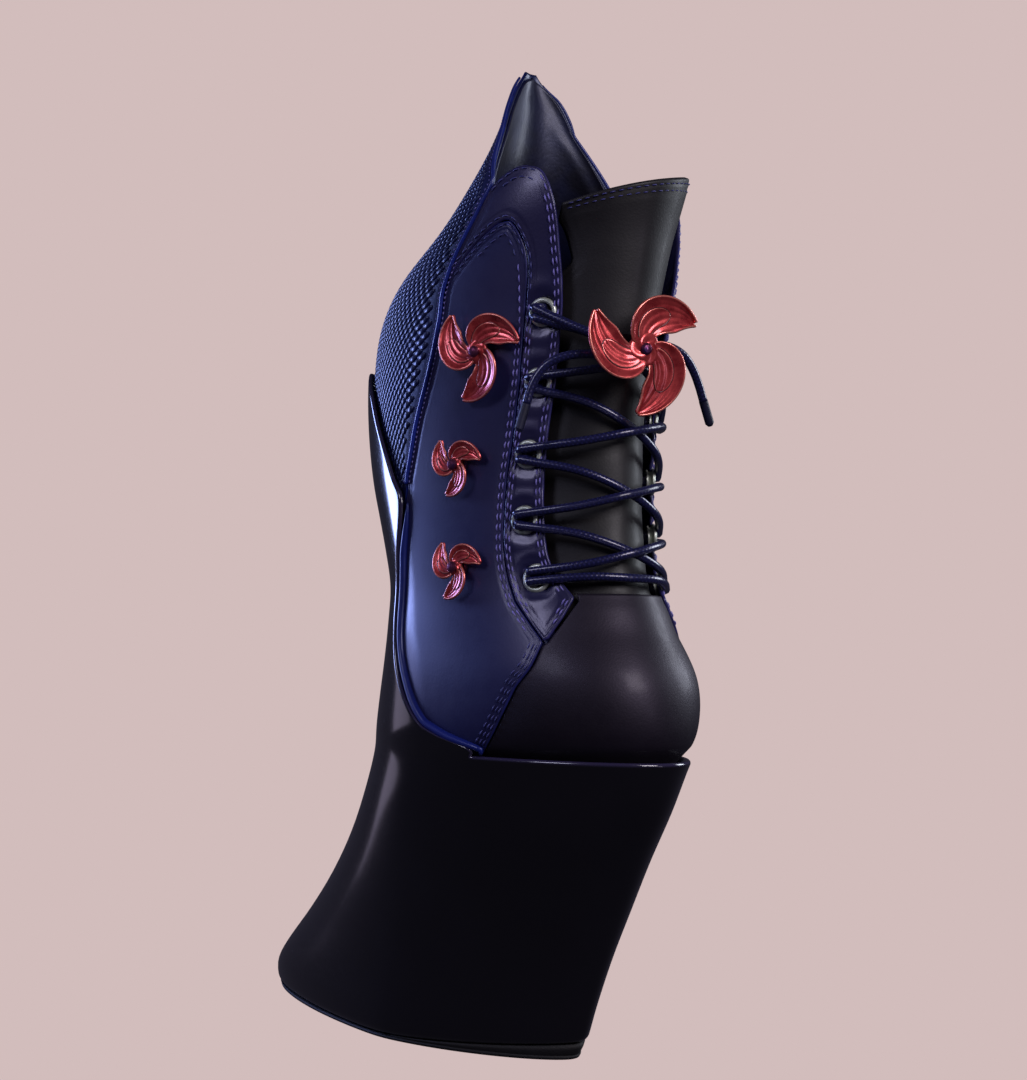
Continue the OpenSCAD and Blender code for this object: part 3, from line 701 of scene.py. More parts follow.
@dataclass(frozen=True)
class Enamel:
    """Coloured metallic enamel: pooled tone in the hollows, streaks along the sweep and a pale painted
    highlight along the rims.
    """

    name: str
    tone: Colour
    deep: Colour
    # Colour painted along the edges as a highlight.
    rim: Colour

    def material(self) -> bpy.types.Material:
        """Builds the finish."""
        n = Nodes(self.name)
        pooled, flow = n.noise(5, 3), n.noise(1.6, 3, 0.6)
        # Painted highlight: near an edge the colour goes towards the rim colour.
        rim = n.attribute("edge").between(0.7, 0.1)
        colour = n.mix(pooled.between(0.35, 0.7), self.tone, self.deep)
        colour = n.mix(rim * 0.7, colour, self.rim)
        return n.finish(colour, flow * 0.18 + 0.2, n.bump(pooled * 0.7 + flow * 0.3, 0.18, 0.5), Metallic=0.6,
                        Coat_Weight=0.7, Coat_Roughness=0.12)


@dataclass(frozen=True)
class Metal:
    """Turned or stamped metal with faint brushing and tarnish."""

    name: str
    tone: Colour
    tarnish: Colour
    roughness: float = 0.3
    metallic: float = 0.85

    def material(self) -> bpy.types.Material:
        """Builds the finish."""
        n = Nodes(self.name)
        stain, brush = n.noise(3.5, 4), n.noise(0.5, 2)
        colour = n.mix(stain.between(0.45, 0.75), self.tone, self.tarnish)
        return n.finish(colour, stain * 0.2 + (self.roughness - 0.08), n.bump(brush, 0.03, 0.5),
                        Metallic=self.metallic)


@dataclass(frozen=True)
class Cord:
    """Waxed round cord: fine twisted strands that follow its length, or a plain sewing thread."""

    name: str
    tone: Colour
    second: Colour
    strands: float = 0.0
    roughness: float = 0.36

    def material(self) -> bpy.types.Material:
        """Builds the finish; the strands go as the sine of turn times strands plus length."""
        n = Nodes(self.name)
        wax = n.noise(7, 3)
        if not self.strands:
            return n.finish(n.mix(wax.between(0.4, 0.7), self.tone, self.second), 0.5,
                            n.bump(n.noise(0.3, 2), 0.05))
        along, turn = n.attribute("along"), n.attribute("round")
        strand = (turn * self.strands + along * 3.6).wave() * (turn * self.strands - along * 3.6).wave()
        colour = n.mix(strand.between(0.1, 0.6), self.tone, self.second)
        return n.finish(colour, wax * 0.15 + (self.roughness - 0.05), n.bump(strand, 0.14, 0.6),
                        Coat_Weight=0.7,
                        Coat_Roughness=0.16, Specular_Tint=(0.75, 0.72, 1.0, 1.0))


# The third colour of each leather is its edge tone, partly wear and partly a painted highlight, such as the
# royal-blue rims of the navy quarters.
LEATHERS = {
    "navy_leather": Leather("navy_leather", shade(25, 27, 70), shade(33, 31, 68), shade(40, 46, 120), 0.4,
                            0.9, 0.05,
                            0.3, (0.7, 0.68, 1.0)),
    "band_leather": Leather("band_leather", shade(32, 30, 64), shade(27, 27, 62), shade(58, 56, 120), 0.34,
                            0.9, 0.05,
                            0.45, (0.75, 0.68, 1.0)),
    # Its royal-blue edge tone paints the glints on the scales' ridges.
    "embossed_leather": Leather("embossed_leather", shade(14, 20, 66), shade(10, 13, 42),
                                shade(30, 46, 140), 0.36, 1.1,
                                0.08, 0.3, (0.5, 0.6, 1.0)),
    "black_leather": Leather("black_leather", shade(14, 10, 18), shade(20, 16, 25), shade(34, 30, 44), 0.5,
                             0.8, 0.07,
                             0.1, (0.85, 0.75, 1.0)),
    "tongue_leather": Leather("tongue_leather", shade(11, 9, 14), shade(17, 14, 20), shade(30, 27, 38),
                              0.55, 0.8, 0.07,
                              0.08),
    "lining_leather": Leather("lining_leather", shade(15, 17, 44), shade(12, 10, 18), shade(26, 30, 74),
                              0.45, 1.4, 0.12,
                              0.15, (0.6, 0.65, 1.0), 16.0),
    "sock_leather": Leather("sock_leather", shade(20, 17, 24), shade(28, 24, 34), shade(40, 36, 48), 0.6,
                            1.0, 0.08, 0.0),
    "blue_piping": Leather("blue_piping", shade(24, 34, 104), shade(30, 46, 140), shade(70, 90, 190), 0.34,
                           0.7, 0.05,
                           0.4, (0.6, 0.65, 1.0)),
    # The roll's royal-blue tones paint the highlight along the quarter's rolled lower edge.
    "edge_roll_painted_highlight": Leather("edge_roll_painted_highlight", shade(20, 32, 108), shade(16, 26, 92), shade(60, 80, 190), 0.36, 0.8,
                         0.04, 0.3,
                         (0.55, 0.62, 1.0)),
}
FINISHES = {
    **LEATHERS,
    # The moulding's second colour is the painted highlight along its rims.
    "platform_gloss": Moulding("platform_gloss", shade(9, 8, 13), shade(52, 46, 78), 0.16, 0.9),
    "core_foam": Rubber("core_foam", shade(60, 58, 62), 2.0, 0.3, 0.9),
    "tread_rubber": Rubber("tread_rubber", shade(14, 13, 17)),
    "board": Rubber("board", shade(150, 118, 84), 1.2, 0.1, 0.85),
    # The red enamel's third colour is the painted highlight on the blades' rims.
    "red_enamel": Enamel("red_enamel", shade(214, 78, 78), shade(168, 44, 50), shade(255, 160, 140)),
    "enamel_line": Enamel("enamel_line", shade(52, 14, 30), shade(36, 12, 34), shade(70, 24, 40)),
    "pin_steel": Metal("pin_steel", shade(120, 60, 90), shade(60, 50, 110), 0.28),
    "shank_steel": Metal("shank_steel", shade(150, 152, 158), shade(110, 108, 104), 0.4),
    "lock_metal": Metal("lock_metal", shade(70, 72, 84), shade(40, 40, 56), 0.3),
    "eyelet_metal": Metal("eyelet_metal", shade(206, 212, 200), shade(150, 160, 148), 0.34, 0.6),
    "aglet_film": Cord("aglet_film", shade(16, 18, 44), shade(24, 26, 58)),
    "lace_cord": Cord("lace_cord", shade(20, 22, 58), shade(34, 36, 86), 4.0, 0.28),
    # Lit and shaded copies of one lavender thread: painted light and painted shade.
    "thread_painted_lit": Cord("thread_painted_lit", shade(128, 120, 196), shade(100, 94, 170)),
    "thread_painted_shade": Cord("thread_painted_shade", shade(64, 64, 128), shade(44, 46, 100)),
    "dark_thread": Cord("dark_thread", shade(34, 34, 70), shade(26, 26, 54)),
}


class Wardrobe:
    """Keeps one material for each finish and gives pieces their finish and body."""

    def __init__(self) -> None:
        """Starts with no material made."""
        self.made: dict[str, bpy.types.Material] = {}

    def material(self, finish: str) -> bpy.types.Material:
        """The finish's material, made on first use."""
        if finish not in self.made:
            self.made[finish] = FINISHES[finish].material()
        return self.made[finish]

    def dress(self, obj: bpy.types.Object, finish: str, slot: str | None = None, body: str | None = "boot",
              replaces: Sequence[str] = ()) -> bpy.types.Object:
        """Gives a piece its material and its body, and hides the CAD nodes that it stands for."""
        obj.data.materials.clear()
        obj.data.materials.append(self.material(finish))
        if replaces:
            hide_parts(*replaces)
        if body:
            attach(obj, body)
        LOG.info("%s: %d faces, %s", obj.name, len(obj.data.polygons), finish)
        return obj

    def repaint(self, node: str, finish: str) -> None:
        """Gives a CAD node that stays its material."""
        obj, made = frame["nodes"][node], self.material(finish)
        if not obj.material_slots:
            obj.data.materials.append(made)
        for part in obj.material_slots:
            part.material = made


# ---------------------------------------------------------------- sub-assemblies
def stitched(base: float, *rows: float, depth: float = 0.22) -> Callable[[Array], Array]:
    """Height of a panel's face by its distance from the edge, drawn in under each row of stitches."""
    return lambda d: base - sum(depth * np.exp(-(((d - r) / 0.5) ** 2)) for r in rows)


def fan(points: Sequence[Sequence[float]], count: int) -> Array:
    """Smooth line of count points through a few given ones."""
    points = np.array(points, float)
    table = np.column_stack([np.arange(len(points)), points])
    return hermite(table, np.linspace(0, len(points) - 1, count))[:, 1:]


@dataclass
class Platform:
    """The moulded shell with its spine, the tread and wedge below it, and the insole that it carries."""

    wardrobe: Wardrobe
    shell: float = 2.4
    tread: float = 1.6
    toe_rise: float = 4.5
    spine_top: float = 286.0
    tab: float = 108.0
    sole_inset: float = 1.0

    def foot(self, u: Array) -> Array:
        """Height of the shell's lower edge: it rises towards the toe with the square of the cosine."""
        return self.tread + 0.4 + self.toe_rise * np.maximum(np.cos(np.radians(u)), 0) ** 2

    def rim(self, u: Array) -> Array:
        """Height of the shell's upper edge beside the foot."""
        return 121 - 2 * np.cos(np.radians(u))

    def moulding(self) -> None:
        """One sheet: rings up to the rim, then the spine's columns, drawn in to the spine's half angle."""
        t = 2 * packed(2 * self.tab * 0.75, 1.7, (0, .25, .6, 1.1, 1.8, 2.8, 4)) - 1
        front = np.linspace(-180 + self.tab, 180 - self.tab, 90)[1:-1]
        u0 = np.concatenate([180 + self.tab * t, front + 360])
        ring = packed(118.0, 2.6, (0, .25, .6, 1, 1.5, 2.1, 3, 4, 5.2))
        z_ring = self.foot(u0)[None] + ring[:, None] * (self.rim(u0) - self.foot(u0))[None]
        rise = packed(330.0, 4.2, (0, .3, .7, 1.2, 2, 3, 4.2))
        rise = np.concatenate([np.linspace(0, 0.5, 46)[1:], rise[rise > 0.5]])[:, None]
        t_all = np.concatenate([t, np.zeros(len(front))])
        top = self.spine_top + 4 * np.cos(np.pi / 2 * t_all)
        z_tab = self.rim(u0)[None] + rise * (top - self.rim(u0))[None]
        u_tab = 180 + t_all[None] * np.minimum(edge(SPINE, z_tab), self.tab)
        u_tab[:, len(t):] = u0[None, len(t):]
        u, z = np.concatenate([np.repeat(u0[None], len(ring), 0), u_tab]), np.concatenate([z_ring, z_tab])
        turn_in = -1.5 * np.clip(1 - (z - self.foot(u)) / 3.2, 0, 1) ** 2
        keep = np.ones((len(z) - 1, len(u0)), bool)
        keep[len(ring) - 1:, len(t) - 1:] = False
        sheet = Sheet(SHELL.at(u, z, turn_in), SHELL.facing(u, z), 0.0, -self.shell, 1.5, True, keep)
        self.wardrobe.dress(sheet.build("platform_moulding"), "platform_gloss", replaces=["platform_shell"])

    def sole(self) -> None:
        """Tread and wedge as rings from the middle of the underside, round the edge and up to the shell."""
        u = np.arange(0, 360, 1.5)
        outline = SHELL.ring(u, 0 * u)[:, :2]
        middle = outline.mean(0)
        inwards = unit(middle - outline)
        shares = np.linspace(0.02, 1, 60)[:-1]
        flat = middle + shares[:, None, None] * (outline + 3.4 * inwards - middle)
        groove = ramp((np.cos(2 * np.pi * (flat[..., 0] + 0.35 * np.abs(flat[..., 1])) / 9) - 0.2) / 0.3)
        inside = ramp((1 - shares) / 0.08)[:, None]
        under = np.concatenate([flat, (0.9 * groove * inside)[..., None]], -1)
        levels = [(3.4, 0.0), (2.2, 0.0), (1.5, 0.25), (1.1, 0.8), (1.0, 1.3), (1.35, 1.55), (1.35, 1.75),
                  (1.0, 2.0)]
        side = [np.column_stack([outline + inset * inwards, np.full(len(u), z)]) for inset, z in levels]
        top = self.foot(u) - 0.1
        climb = [np.concatenate([SHELL.ring(u, 2 + s * (top - 2))[:, :2] + self.sole_inset * inwards,
                                 (2 + s * (top - 2))[:, None]], 1) for s in (0.5, 1.0)]
        lid = [np.column_stack([climb[-1][:, :2] + d * inwards, top]) for d in (3.0, 9.0)]
        rings = np.concatenate([under, np.array(side + climb + lid)])
        shape = rings.shape[:2]
        obj = mesh_object("sole_unit", rings.reshape(-1, 3), [ring_faces(*shape), end_caps(*shape)])
        self.wardrobe.dress(obj, "tread_rubber", replaces=["outsole", "sole_wedge"])

    def footbed(self) -> None:
        """Sock over the ramp, as wide at each place as the boot's inside, by the superellipse's formula."""
        line = fan(FOOTBED[1:-1], 90)
        x, z = line[:, 0], line[:, 1] + 3.2
        rear, front, widest, half, rear_n, front_n = (np.interp(z, UPPER.z, c) for c in UPPER.columns)
        reach = np.where(x < widest, widest - rear, front - widest) - 5.5
        n = np.where(x < widest, rear_n, front_n)
        width = (half - 5.5) * np.clip(1 - np.clip(np.abs(x - widest) / reach, 0, 0.995) ** n, 0,
                                       1) ** (1 / n)
        s = 2 * packed(60.0, 2.0) - 1
        points = np.stack([x[:, None] + 0 * s, width[:, None] * s, z[:, None] + 1.4 * np.abs(s) ** 4], -1)
        normals = unit(np.cross(np.gradient(points, axis=1), np.gradient(points, axis=0)))
        normals *= np.sign(normals[..., 2:3])
        obj = Sheet(points, normals, 2.2, -0.6, 1.4).build("sock_footbed")
        self.wardrobe.dress(obj, "sock_leather", replaces=["sock_liner"])

    def build(self) -> None:
        """Makes the platform's pieces and finishes its hidden nodes."""
        self.moulding()
        self.sole()
        self.footbed()
        for node, finish in {"platform_core": "core_foam", "shank": "shank_steel",
                             "insole_board": "board"}.items():
            self.wardrobe.repaint(node, finish)


@dataclass
class Upper:
    """Leather panels, lining, piping and their threads."""

    wardrobe: Wardrobe
    gap: float = 0.2
    scale_pitch: tuple[float, float] = (2.55, 2.1)
    eyelet_room: float = 4.3
    tuck_depth: float = 2.4
    quarter_foot: float = 112.0
    quarter_top: float = 330.6
    piping_radius: float = 0.9

    def seam(self) -> Array:
        """Inner edge of the eyestay by angle and height, from the collar's back over the arch to the tip."""
        smooth = fan([pair[1] for pair in EYESTAY[:13]], 240)
        tip = np.linspace(EYESTAY[12][1], EYESTAY[14][1], 24)[1:]
        return np.concatenate([smooth, tip])

    def throat(self) -> Array:
        """Outer edge of the eyestay, station by station beside seam()."""
        smooth = fan([pair[0] for pair in EYESTAY[:13]], 240)
        tip = np.concatenate([np.linspace(EYESTAY[12][0], EYESTAY[13][0], 13),
                              np.linspace(EYESTAY[13][0], EYESTAY[14][0], 12)[1:]])[1:]
        return np.concatenate([smooth, tip])

    def quarter_edges(self, z: Array) -> tuple[Array, Array]:
        """Front and rear angles of the quarter by height; above the seam's ends both follow the arch."""
        seam = self.seam()
        apex = int(seam[:, 1].argmax())
        front = np.interp(z, seam[apex:, 1][::-1], seam[apex:, 0][::-1])
        rear = np.interp(z, seam[:apex + 1, 1], seam[:apex + 1, 0])
        return (np.where(z < 165.5, edge(QUARTER_FOOT, z), front) + self.gap,
                np.maximum(np.where(z < 313, edge(QUARTER_BACK, z), rear), 0) - self.gap)

    def tuck(self, z: Array) -> Array:
        """How far leather is drawn in below the platform's rim."""
        return -self.tuck_depth * np.clip((125 - z) / 8, 0, 1)

    def quarter(self, side: Side) -> None:
        """Side panel from the platform's rim to the arch under the collar."""
        low = np.linspace(self.quarter_foot, 300, 150)
        arch = (self.quarter_top - 300) * np.linspace(1, 0, 46)[1:] ** 2
        z = np.concatenate([low, self.quarter_top - arch])
        a, b = self.quarter_edges(z)
        b = np.maximum(b, a + 0.3)
        shares = packed(60.0, 1.1, (0, .15, .4, .8, 1.2, 1.6, 2.0, 2.6, 3.1, 3.6, 4.4))
        u = grid(a, b, shares)
        zz = np.repeat(z[:, None], len(shares), 1)
        turned = side.turned(u, zz)
        base = UPPER.at(turned, zz, self.tuck(zz))
        obj = Sheet(base, UPPER.facing(turned, zz), stitched(0.35, 1.6, 3.1), -LEATHER, 0.9).build(
            f"quarter_panel_{side.word}")
        self.wardrobe.dress(obj, "navy_leather", replaces=[f"quarter_{side.word}"])

    def eyestay(self, side: Side) -> None:
        """Band from the collar round the throat to the pointed tip, dimpled and pierced at the eyelets."""
        outer, inner = self.throat(), self.seam()
        lengths = np.concatenate([[0], np.cumsum(np.linalg.norm(np.diff((outer + inner) / 2, axis=0),
                                                                axis=1))])
        at = packed(lengths[-1], 1.0) * lengths[-1]
        outer, inner = (np.stack([np.interp(at, lengths, e[:, k]) for k in range(2)], 1)
                        for e in (outer, inner))
        shares = packed(13.0, 0.75, (0, .15, .4, .8, 1.2, 1.6, 2.0, 2.6, 3.1, 3.6))
        u, z = grid(inner[:, 0] - self.gap, outer[:, 0], shares), grid(inner[:, 1], outer[:, 1], shares)
        turned = side.turned(u, z)
        points, normals = UPPER.ring(turned, z), UPPER.facing(turned, z)
        rows = EYELETS_OUTER if side is Side.OUTER else EYELETS_INNER
        centres = np.array([table_point(*e)[0] for e in rows])
        off = closest(points.reshape(-1, 3), centres).reshape(z.shape)
        dimple = -0.55 * np.exp(-((np.maximum(off - 4.6, 0) / 2.6) ** 2))
        swell = 0.35 * np.exp(-(((off - 10.5) / 3.2) ** 2))
        corner = off > self.eyelet_room
        keep = corner[:-1, :-1] & corner[1:, :-1] & corner[:-1, 1:] & corner[1:, 1:]
        sheet = Sheet(points + (dimple + swell)[..., None] * normals, normals, stitched(0.75, 1.6, 3.1),
                      -1.0, 0.9,
                      False, keep)
        self.wardrobe.dress(sheet.build(f"eyestay_band_{side.word}"), "band_leather", "navy_leather",
                            replaces=[f"eyestay_{side.word}"])

    def vamp(self) -> None:
        """Toe panel up to the throat, with shallow wrinkles that die out towards the toe."""
        z = np.concatenate([np.linspace(112, 182.2, 62), [182.8, 183.4, 184.0]])
        foot = np.where(z < 164, edge(QUARTER_FOOT, z),
                        48.5 - 15.5 * np.clip((z - 164) / 17, 0, 1)) - self.gap
        shares = packed(95.0, 1.05, (0, .3, .8, 1.5, 2.4))
        zz = np.repeat(z[:, None], len(shares), 1)
        low, high = Side.OUTER.turned(foot, z), Side.INNER.turned(foot, z)
        u = grid(low, high, shares)
        fold = np.sin((zz + 4 * np.cos(np.radians(u * 2.2 + 8)) - 150) / 4.4)
        near = ramp((zz - 158) / 14) * ramp((183 - zz) / 6) * np.exp(-(((np.abs(u) - 18) / 22) ** 2))
        wrinkle = 0.28 * fold * near
        base = UPPER.at(u, zz, self.tuck(zz) + wrinkle - 0.15)
        obj = Sheet(base, UPPER.facing(u, zz), 0.0, -LEATHER, 0.9).build("vamp_leather")
        self.wardrobe.dress(obj, "black_leather", replaces=["vamp"])

    def spire_grid(self, across: Array, z: Array) -> tuple[Array, Array]:
        """Angles and heights of the back panel between its edges, from the inner side round to the outer."""
        a = edge(BACK_EDGE, z) + self.gap
        return grid(a + spire_cut(z), 360 - a, across), np.repeat(z[:, None], len(across), 1)

    def back_panel(self) -> None:
        """Panel round the back and up the spire."""
        z = 214 + 198 * packed(198.0, 1.7, (0, .3, .8, 1.5, 2.4))
        u, zz = self.spire_grid(packed(105.0, 1.2, (0, .2, .6, 1.1, 1.7, 2.3, 3)), z)
        obj = panel(UPPER, u, zz, outer=stitched(0.3, 1.7), inner=-LEATHER,
                    roll=0.9).build("back_panel_leather")
        self.wardrobe.dress(obj, "embossed_leather", replaces=["back_panel"])

    def scales(self) -> None:
        """Embossed feather scales: closed kites in staggered rows, each lifted at its lower tip.

        A scale has a ring of eight corners on the leather and a ridge of three above it; its place is
        the angle and height of its middle, and its corners go through the surface with it.
        """
        column, row = self.scale_pitch
        heights = np.arange(219.0, 398.0, row)
        columns = np.arange(60.0, 300.0, column / 0.74)
        u, z = np.meshgrid(columns, heights)
        u = u + (np.arange(len(heights)) % 2)[:, None] * column / 0.74 / 2
        a = edge(BACK_EDGE, z)
        margin = 4.2 + 14 * ramp((z - 330) / 70)
        inside = (u > a + spire_cut(z) + margin) & (u < 360 - a - margin)
        spine = np.abs(u - 180) > np.where(z < 288,
                                           edge(SPINE, np.minimum(z, 286)) * ramp((294 - z) / 6) - 2, -1)
        u, z = u[inside & spine], z[inside & spine]
        rim = np.array([[0, 1.5], [.52, .75], [.62, -.1], [.4, -.95], [0, -1.55], [-.4, -.95], [-.62, -.1],
                        [-.52, .75]])
        ridge = np.array([[0, .7, .12], [0, -.3, .34], [0, -1.0, .42]])
        lift = np.array([-.12, -.02, .08, .14, .2, .14, .08, -.02])
        du = np.concatenate([rim[:, 0], ridge[:, 0], rim[:, 0]]) * column * 0.86 / 0.74
        dz = np.concatenate([rim[:, 1], ridge[:, 1], rim[:, 1]]) * row * 0.62
        d = np.concatenate([lift, ridge[:, 2], np.full(8, -0.3)]) + 0.3
        points = UPPER.at(u[:, None] + du, z[:, None] + dz, np.broadcast_to(d, (len(u), 19)))
        k = np.arange(8)
        skirt = np.stack([11 + k, 11 + (k + 1) % 8, (k + 1) % 8, k], 1)
        top = np.array([[0, 1, 8, 8], [1, 2, 9, 8], [2, 3, 10, 9], [3, 4, 10, 10], [4, 5, 10, 10],
                        [5, 6, 9, 10],
                        [6, 7, 8, 9], [7, 0, 8, 8]])
        three = top[[0, 3, 4, 7]][:, :3]
        four = np.concatenate([top[[1, 2, 5, 6]], skirt])
        first = (np.arange(len(u)) * 19)[:, None, None]
        base = (first + (11 + k)[None, None, ::-1]).reshape(-1, 8)
        faces = [(first + three[:, ::-1]).reshape(-1, 3), (first + four[:, ::-1]).reshape(-1, 4),
                 base[:, ::-1]]
        # The ridge corners get short edge distances, so that the leather's edge tone paints royal-blue glints
        # along each scale's ridge: painted highlight.
        obj = mesh_object("back_panel_scales", points.reshape(-1, 3), faces,
                          {"edge": np.tile(np.concatenate([np.full(8, 3.0), [1.2, .5, .3],
                                                           np.full(8, 3.0)]), len(u))})
        self.wardrobe.dress(obj, "embossed_leather")

    def lining(self) -> None:
        """Lining from inside the shaft up to the collar's rim, where it closes on the outer leather."""
        rise = packed(200.0, 2.4, (0, .3, .8, 1.5, 2.4))
        around = 57 + 246 * packed(180.0, 2.0, (0, .3, .8, 1.5, 2.4))
        folded = np.where(around > 180, 360 - around, around)
        rim = edge(COLLAR_RIM, folded)
        z = 174 + rise[:, None] * (rim - 174)[None]
        u = np.repeat(around[None], len(rise), 0)
        u = np.where(u < 180, Side.INNER.turned(u, z) + spire_cut(z) * np.clip((180 - u) / 60, 0, 1), u)
        depth = -2.8 + 1.25 * ramp((z - rim[None] + 16) / 14)
        obj = Sheet(UPPER.at(u, z, depth), UPPER.facing(u, z), 0.0, -1.3, 0.9).build("shaft_lining_leather")
        self.wardrobe.dress(obj, "lining_leather", replaces=["shaft_lining"])

    def piping_line(self, side: Side, top: float = 408.0) -> Line:
        """Line of the back panel's edge, from the platform's spine up to the spire's tip."""
        z = np.linspace(232, top, 190)
        u = edge(BACK_EDGE, z)
        turned = side.turned(u, z) + (spire_cut(z) if side is Side.INNER else 0)
        return Line.on(UPPER, turned, z, 0.75)

    def piping(self, side: Side) -> None:
        """Fine corded piping in the seam and on up the spire's rim."""
        line = self.piping_line(side)
        radius = self.piping_radius * np.minimum(1, np.linspace(1.0, 0.55, len(line.points)) * 1.15)
        obj = without_edge_tone(tube(f"piping_cord_{side.word}", line.points, radius, 10))
        self.wardrobe.dress(obj, "blue_piping", replaces=[f"piping_{side.word}"])

    def edge_roll_painted_highlight(self, side: Side) -> None:
        """Padded roll of the quarter where it meets the platform, from the vamp up beside the spine; its
        royal-blue finish paints the highlight along that edge.
        """
        z = np.linspace(121.6, 224, 150)
        u = np.maximum(71.6, 180 - edge(SPINE, z) - 2.3)
        line = Line.on(UPPER, side.turned(u, z), z, 1.0)
        s = np.linspace(0, 1, len(z))
        radius = 0.25 + 1.45 * np.sqrt(np.clip(np.minimum(s / 0.06, (1 - s) / 0.2), 0, 1))
        obj = without_edge_tone(tube(f"quarter_roll_{side.word}", line.points, radius, 14))
        self.wardrobe.dress(obj, "edge_roll_painted_highlight", "navy_leather")

    def threads(self, side: Side) -> None:
        """Rows of stitches along this side's seams."""
        seam, throat = self.seam(), self.throat()
        def line(uv: Array, lift: float) -> Line:
            """Line through angles and heights on this side."""
            return Line.on(UPPER, side.turned(uv[:, 0], uv[:, 1]), uv[:, 1], lift)
        left = 1 if side is Side.OUTER else -1
        joint, mouth = line(seam, 0.4), line(throat, 0.8)
        arch = ramp((np.interp(np.arange(len(seam)), [110, 150], [1, 0])))
        bright = [joint.beside(-left * (1.6 + 2.6 * arch)).part(0.42, 0.97),
                  joint.beside(-left * 3.1).part(0.55, 0.97),
                  mouth.beside(-left * 1.6).part(0.30, 0.905), mouth.beside(-left * 3.1).part(0.36, 0.90)]
        band = line(seam, 0.8)
        bright += [band.beside(left * 1.6).part(0.50, 0.96), band.beside(left * 3.0).part(0.52, 0.95)]
        tip = line(throat[-24:], 0.85)
        bright += [tip.beside(-left * 1.6).part(0.1, 0.95), tip.beside(-left * 3.0).part(0.12, 0.72)]
        # The throat's rows take the thread's painted lit copy.
        self.wardrobe.dress(Thread().sew(f"throat_stitches_{side.word}", bright), "thread_painted_lit",
                            "navy_leather")
        z = np.linspace(164, 123, 60)
        foot = line(np.column_stack([edge(QUARTER_FOOT, z), z]), 0.4)
        arc = [joint.beside(-left * 1.6).part(0.03, 0.42), joint.beside(-left * 5.0).part(0.12, 0.42),
               band.beside(left * 1.6).part(0.04, 0.5), mouth.beside(-left * 5.0).part(0.10, 0.34),
               mouth.beside(-left * 1.5).part(0.06, 0.3)]
        arc += [foot.beside(-left * d) for d in (1.6, 3.1, 4.7)]
        # The seams' rows take the thread's painted shaded copy.
        self.wardrobe.dress(Thread(radius=0.3, rise=0.15).sew(f"seam_stitches_{side.word}", arc),
                            "thread_painted_shade",
                            "navy_leather")
        pipe = self.piping_line(side)
        fine = Thread(2.1, 1.3, 0.24, 0.12, 5, 4)
        rows = [pipe.beside(left * d).part(low, high) for d, low,
                high in ((1.9, 0.0, 0.95), (-1.9, 0.0, 0.52))]
        # The piping's rows take the thread's painted lit copy.
        self.wardrobe.dress(fine.sew(f"piping_stitches_{side.word}", rows), "thread_painted_lit", "blue_piping")

    def build(self) -> None:
        """Makes the upper's pieces and finishes its hidden nodes."""
        self.vamp()
        self.back_panel()
        self.scales()
        self.lining()
        for side in Side:
            self.quarter(side)
            self.eyestay(side)
            self.piping(side)
            self.edge_roll_painted_highlight(side)
            self.threads(side)
        for node, finish in {"toe_puff": "board", "heel_counter": "board",
                             "vamp_lining": "lining_leather"}.items():
            self.wardrobe.repaint(node, finish)


